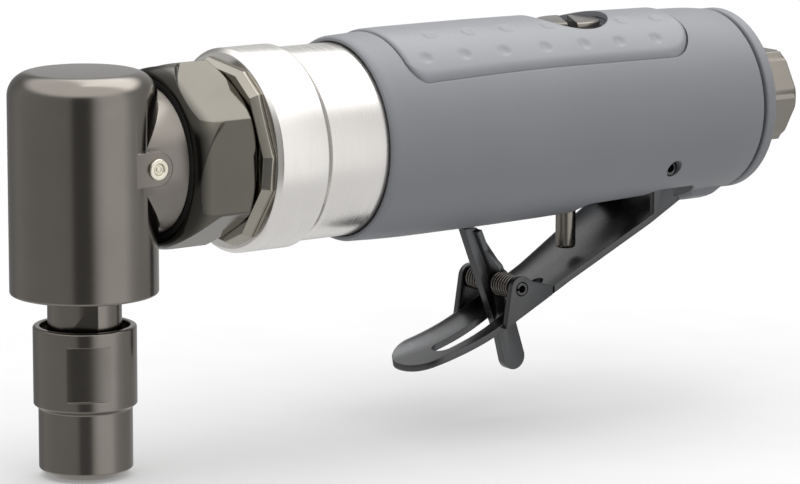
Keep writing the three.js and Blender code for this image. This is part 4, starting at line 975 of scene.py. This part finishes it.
lever = Values(
    half=7.6, rearHalf=9.8, widenFrom=104, widenTo=122, sheet=1.3, dish=1.2, curl=3.5,
    slope=28.8, bendX=96, bendZ=-35.75, bendRadius=79.3, tipAngle=8.45, rearX=129.2,
    lift=0.5, liftX=94, liftWidth=6, edge=0.35, edgeAngle=60, edgeSteps=3,
    ear=2.5, earHalf=8.75, earFront=88.2, earRear=99.3, earArc=(35, 170), earHeight=2.21,
    foot=0.55, wallSheet=1.35, wallRadius=4.3, wallFront=122.8, wallArc=(0, 250),
    wallDrop=5.16,
    slotFromTip=8, slotHalf=2.3, slotWide=19.4, slotNarrow=1.6, slotLength=25.6,
    slotCorner=0.6, slotLead=2, slotTail=3, slotBottom=-54, slotGap=0.3,
    slitX=99.6, slitWidth=0.9, slitDepth=1.6, slitDrop=2, slitHeight=2.6,
    tipRows=28, rows=74, columns=41, tipShare=0.02, pinReach=11,
)
pivot = Values(x=123, z=-10, radius=1.5, half=14.6, hole=1.65, bore=0.85, slit=0.5)
lockPin = Values(x=91.9, z=-31.3, radius=1.25, half=8.85, hole=1.4, bore=0.7, slit=0.45)
slope = math.radians(lever.slope)
bendCentre = (lever.bendX - lever.bendRadius * math.sin(slope),
              lever.bendZ + lever.bendRadius * math.cos(slope))
leverTip = bendCentre[0] + lever.bendRadius * math.sin(math.radians(lever.tipAngle))


# Lower edge of the lever at x: an arc up to the bend, then straight, with a low swell under the ears
def leverBottom(x):
    l, x = lever, np.asarray(x, float)
    fromCentre = np.minimum(x - bendCentre[0], l.bendRadius * math.sin(slope))
    curved = bendCentre[1] - np.sqrt(l.bendRadius ** 2 - fromCentre ** 2)
    straight = l.bendZ + (x - l.bendX) * math.tan(slope)
    swell = l.lift * np.exp(-((x - l.liftX) / l.liftWidth) ** 2)
    return swell + np.where(x < l.bendX, curved, straight)


# The strip: stations along the path by places across it, lifted square to the path by its dish
def makeStrip():
    l = lever
    t = np.linspace(l.tipShare, 1, l.tipRows)
    tip = leverTip + l.half * (1 - np.cos(t * np.pi / 2))
    x = np.concatenate([tip, np.linspace(tip[-1], l.rearX, l.rows)[1:]])[:, None]
    onArc = np.arcsin(np.clip((x - bendCentre[0]) / l.bendRadius, -1, 1))
    angle = np.where(x < l.bendX, onArc, slope)
    z = leverBottom(x)
    full = np.interp(x, [l.widenFrom, l.widenTo], [l.half, l.rearHalf])
    half = full * np.sqrt(1 - (1 - np.minimum((x - leverTip) / l.half, 1)) ** 2)
    y = half * np.linspace(-1, 1, l.columns)[None]
    dish = -l.dish * (1 - np.abs(y / full) ** l.curl)
    sheets = [np.stack([x - rise * np.sin(angle), y, z + rise * np.cos(angle)], -1)
              for rise in (dish, dish + l.sheet)]
    return sheetPiece("throttleLever", sheets)


# The two ears that hold the lock pin and the two walls that hold the pivot
def leverPlates():
    l = lever
    earRear, earFront = leverBottom(l.earRear), leverBottom(l.earFront)
    ear = np.concatenate([
        [(l.earFront, earFront + l.foot), (l.earRear, earRear + l.foot),
         (l.earRear, earRear + l.earHeight)],
        arc(lockPin.x, lockPin.z, l.ear, *l.earArc, 24),
    ])
    seat, wallRear = l.sheet / 2, l.rearX - l.sheet
    wall = np.concatenate([
        [(l.wallFront, leverBottom(l.wallFront) + seat), (wallRear, leverBottom(wallRear) + seat),
         (wallRear, leverBottom(l.rearX) + l.sheet)],
        arc(pivot.x, pivot.z, l.wallRadius, *l.wallArc, 32),
        [(l.wallFront, pivot.z - l.wallDrop)],
    ])
    return [bevelEdges(plate("tool", outline, low, high), l.edge / 2)
            for outline, half in ((ear, l.earHalf), (wall, l.rearHalf))
            for low, high in bothSides(half, half - l.wallSheet)]


# Plan of the lever's slot: round in front, wide up to a step, then narrow with a round end
def leverSlot():
    l = lever
    front = leverTip + l.slotFromTip
    wideEnd, rear = front + l.slotWide, front + l.slotLength
    step = [(wideEnd - l.slotLead, l.slotHalf), (wideEnd, l.slotHalf, l.slotCorner),
            (wideEnd + l.slotNarrow, l.slotNarrow, l.slotCorner),
            (rear - l.slotTail, l.slotNarrow)]
    upper = roundedLine(step)
    return np.concatenate([
        arc(front + l.slotHalf, 0, l.slotHalf, 270, 90, 32), upper,
        arc(rear - l.slotNarrow, 0, l.slotNarrow, 90, -90, 16), upper[::-1] * [1, -1],
    ])


def makeThrottleLever():
    l = lever
    piece = bevelEdges(makeStrip(), l.edge, l.edgeAngle, l.edgeSteps)
    carve(piece, leverPlates(), "UNION")
    tools = [plate("tool", leverSlot(), l.slotBottom, lockPin.z - l.slotGap, "z")]
    for pin in (lockPin, pivot):
        tools.append(rod(pin.hole, -l.pinReach, l.pinReach, "y", (pin.x, 0, pin.z)))
    slitEnd, z = l.slitX + l.slitWidth, float(leverBottom(l.slitX))
    for low, high in bothSides(l.half + overrun, l.half - l.slitDepth):
        tools.append(box(l.slitX, slitEnd, low, high, z - l.slitDrop, z + l.slitHeight))
    carve(piece, tools)
    return finishPiece(piece, "black_oxide", "throttle_lever", "throttle_unit")


# A rolled pin: a tube with a slit along it, its ends broken
def makeRolledPin(name, pin, node, body, outerEdge=0.2, innerEdge=0.1):
    half, bore, reach = pin.half, pin.bore, pin.half + overrun
    piece = turned(name, [
        (bore, -half, innerEdge), (pin.radius, -half, outerEdge),
        (pin.radius, half, outerEdge), (bore, half, innerEdge),
    ], "y", (pin.x, 0, pin.z), 48)
    slit = box(pin.x - 2 * pin.radius, pin.x, -reach, reach,
               pin.z - pin.slit / 2, pin.z + pin.slit / 2)
    carve(piece, [slit])
    return finishPiece(piece, "black_oxide", node, body)


# Lock lever and springs. The flange starts at the blade's rear top corner

lock = Values(
    half=1, edge=0.2, hub=2.9, hole=1.5, topFront=83.8, topRear=86.8, top=-20,
    heel=(96.2, -39.2), toe=(95.9, -46.3), toeRadius=2.45, back=(92.3, -42),
    flangeTop=0.2, flangeBottom=8.6, topWidth=1.5, bottomWidth=4.3, sheet=1.1, root=0.5,
)
lockSpring = Values(wire=0.48, radius=2.08, pitch=0.78, turns=7, gap=0.3, around=24)
valveSpring = Values(wire=0.6, radius=2.15, turns=6, bottom=-1.1, top=10.8, around=24)


def lockFlange():
    k = lock
    run = (lockPin.x - k.hub / 2 - k.topRear, lockPin.z + k.hub - k.top)
    lean = math.degrees(math.atan2(run[0], -run[1]))
    narrow, wide = -k.half - k.topWidth, -k.half - k.bottomWidth
    flange = plate("tool", [
        (k.root, -k.flangeTop), (narrow, -k.flangeTop),
        (narrow, (-k.flangeTop - k.flangeBottom) / 2), (wide, k.sheet - k.flangeBottom),
        (wide, -k.flangeBottom), (k.root, -k.flangeBottom),
    ], -k.sheet, 0, "x")
    leaning = Matrix.Rotation(math.radians(-lean), 4, "Y")
    corner = Matrix.Translation(toVector((k.topRear, 0, k.top)))
    flange.data.transform(corner @ leaning @ Matrix.Translation(-toVector((0, 0, 0))))
    return flange


def makeLockLever():
    k = lock
    blade = plate("lockLever", np.concatenate([
        [(k.topFront, k.top), (k.topRear, k.top)],
        arc(lockPin.x, lockPin.z, k.hub, 60, -60, 24), [k.heel],
        arc(*k.toe, k.toeRadius, 15, -165, 32), [k.back],
    ]), -k.half, k.half)
    carve(blade, [lockFlange()], "UNION")
    reach = k.half + overrun
    carve(blade, [rod(k.hole, -reach, reach, "y", (lockPin.x, 0, lockPin.z))])
    bevelEdges(blade, k.edge)
    return finishPiece(blade, "black_oxide", "lock_lever", "lock_unit")


# A coil of wire round the lock pin, centred between the blade and an ear
def makeLockSpring(name, side, node):
    s = lockSpring
    length = s.turns * s.pitch
    room = lever.earHalf - lever.wallSheet - lock.half - 2 * s.gap
    start = lock.half + s.gap + (room - length) / 2
    t = np.linspace(0, 1, s.around * s.turns + 1)
    a = math.radians(90 - lever.slope) + 2 * np.pi * s.turns * t
    path = np.stack([lockPin.x + s.radius * np.cos(a), side * (start + length * t),
                     lockPin.z + s.radius * np.sin(a)], -1)
    return finishPiece(tubeAlong(name, path, s.wire / 2), "spring_steel", node, "throttle_unit")


# A coil of wire over the head of the valve stem
def makeValveSpring():
    s = valveSpring
    t = np.linspace(0, 1, s.around * s.turns + 1)
    a = 2 * np.pi * s.turns * t
    path = np.stack([scoop.x + s.radius * np.cos(a), s.radius * np.sin(a),
                     s.bottom + (s.top - s.bottom) * t], -1)
    return finishPiece(tubeAlong("valveSpring", path, s.wire / 2), "spring_steel", "valve_spring")


makeThrottleLever()
makeRolledPin("leverPin", pivot, "lever_pin", "tool_body")
makeRolledPin("lockPin", lockPin, "lock_pin", "throttle_unit")
makeLockLever()
makeLockSpring("lockSpringNear", -1, "lock_spring_near")
makeLockSpring("lockSpringFar", 1, "lock_spring_far")
makeValveSpring()
print("lever and lock made")


# Studio: pale floor and a soft white world with darker sides for the metal to show. The bands give the
# world's level by degrees from the camera's azimuth, at the height of the tool and above it

studio = Values(
    floorHeight=-0.0005, floorSize=6, floorLow=0.58, floorHigh=0.6, floorGrain=25,
    floorRoughness=0.9, floorSpecular=0.1, floorGlow=0.22, azimuth=-125.1,
    bands=[
        (-180, 0.55), (-174, 0.5), (-166, 0.25), (-140, 0.25), (-112, 0.45), (-73, 0.4), (-37, 0.38),
        (-16, 0.36), (-9, 0.12), (15, 0.12), (26, 0.67), (36, 0.95), (42, 1), (70, 1), (85, 0.6),
        (100, 0.48), (130, 0.4), (150, 0.4), (180, 0.5),
    ],
    above=[(-180, 2.6), (-165, 1.4), (85, 1.5), (110, 2.9), (165, 2.9), (180, 2.6)], below=0.7,
    upper=(0.45, 0.7), lower=(-0.3, -0.55),
)


def makeWorld():
    s = studio
    world = bpy.data.worlds.new("studio")
    bpy.context.scene.world = world
    world.use_nodes = True
    tree = world.node_tree
    tree.nodes.clear()
    direction = addNode(tree, "ShaderNodeTexCoord").outputs["Generated"]
    parts = addNode(tree, "ShaderNodeSeparateXYZ", {0: direction}).outputs
    angle = mathOf(tree, "ARCTAN2", parts["Y"], parts["X"])
    fromCamera = mathOf(tree, "SUBTRACT", angle, math.radians(s.azimuth))
    wrapped = mathOf(tree, "WRAP", fromCamera, math.pi, -math.pi)
    share = rangeOf(tree, wrapped, -math.pi, math.pi)
    sides, bright = (rampOf(tree, share, [((a + 180) / 360, grey(level)) for a, level in s[k]])
                     for k in ("bands", "above"))
    upper, lower = (rangeOf(tree, parts["Z"], *s[k], interpolation_type="SMOOTHSTEP")
                    for k in ("upper", "lower"))
    whole = mixOf(tree, lower, mixOf(tree, upper, sides, bright), grey(s.below))
    soft, white = (addNode(tree, "ShaderNodeBackground", {"Color": colour, "Strength": 1.0}).outputs[0]
                   for colour in (whole, grey(1)))
    seen = addNode(tree, "ShaderNodeLightPath").outputs["Is Camera Ray"]
    both = addNode(tree, "ShaderNodeMixShader", {0: seen, 1: soft, 2: white}).outputs[0]
    addNode(tree, "ShaderNodeOutputWorld", {"Surface": both})


def makeFloor():
    s, size, z = studio, studio.floorSize, studio.floorHeight
    mesh = bpy.data.meshes.new("floor")
    corners = [(-size, -size, z), (size, -size, z), (size, size, z), (-size, size, z)]
    mesh.from_pydata(corners, [], [(0, 1, 2, 3)])
    floor = bpy.data.objects.new("floor", mesh)
    bpy.context.scene.collection.objects.link(floor)
    made, tree, shader = newMaterial("paperFloor")
    grain = noiseOf(tree, objectPlace(tree), s.floorGrain, grainDetail, 0.5)
    stops = [(noiseLow, grey(s.floorLow)), (noiseHigh, grey(s.floorHigh))]
    tree.links.new(rampOf(tree, grain, stops), shader.inputs["Base Color"])
    shader.inputs["Roughness"].default_value = s.floorRoughness
    shader.inputs["Specular IOR Level"].default_value = s.floorSpecular
    shader.inputs["Emission Color"].default_value = grey(1)
    shader.inputs["Emission Strength"].default_value = s.floorGlow
    mesh.materials.append(made)
    floor.visible_glossy = False
    floor.visible_diffuse = False


camera = Values(
    location=(-0.48407, -0.68393, 0.18990), lens=202.5, sensor=36,
    azimuth=35.12, elevation=10.49, roll=0.09,
)


def makeCamera():
    c = camera
    az, el, roll = (math.radians(c[k]) for k in ("azimuth", "elevation", "roll"))
    back = np.array([-math.sin(az) * math.cos(el), -math.cos(az) * math.cos(el), math.sin(el)])
    right = np.array([math.cos(az), -math.sin(az), 0])
    up = np.cross(back, right)
    right, up = right * math.cos(roll) + up * math.sin(roll), up * math.cos(roll) - right * math.sin(roll)
    data = bpy.data.cameras.new("camera")
    data.lens, data.sensor_width, data.sensor_fit = c.lens, c.sensor, "HORIZONTAL"
    view = bpy.data.objects.new("camera", data)
    place = Matrix(np.column_stack([right, up, back]).tolist()).to_4x4()
    place.translation = c.location
    view.matrix_world = place
    bpy.context.scene.collection.objects.link(view)
    bpy.context.scene.camera = view


makeWorld()
makeFloor()
makeCamera()
bpy.context.scene.view_settings.view_transform = "Standard"
print("studio made")
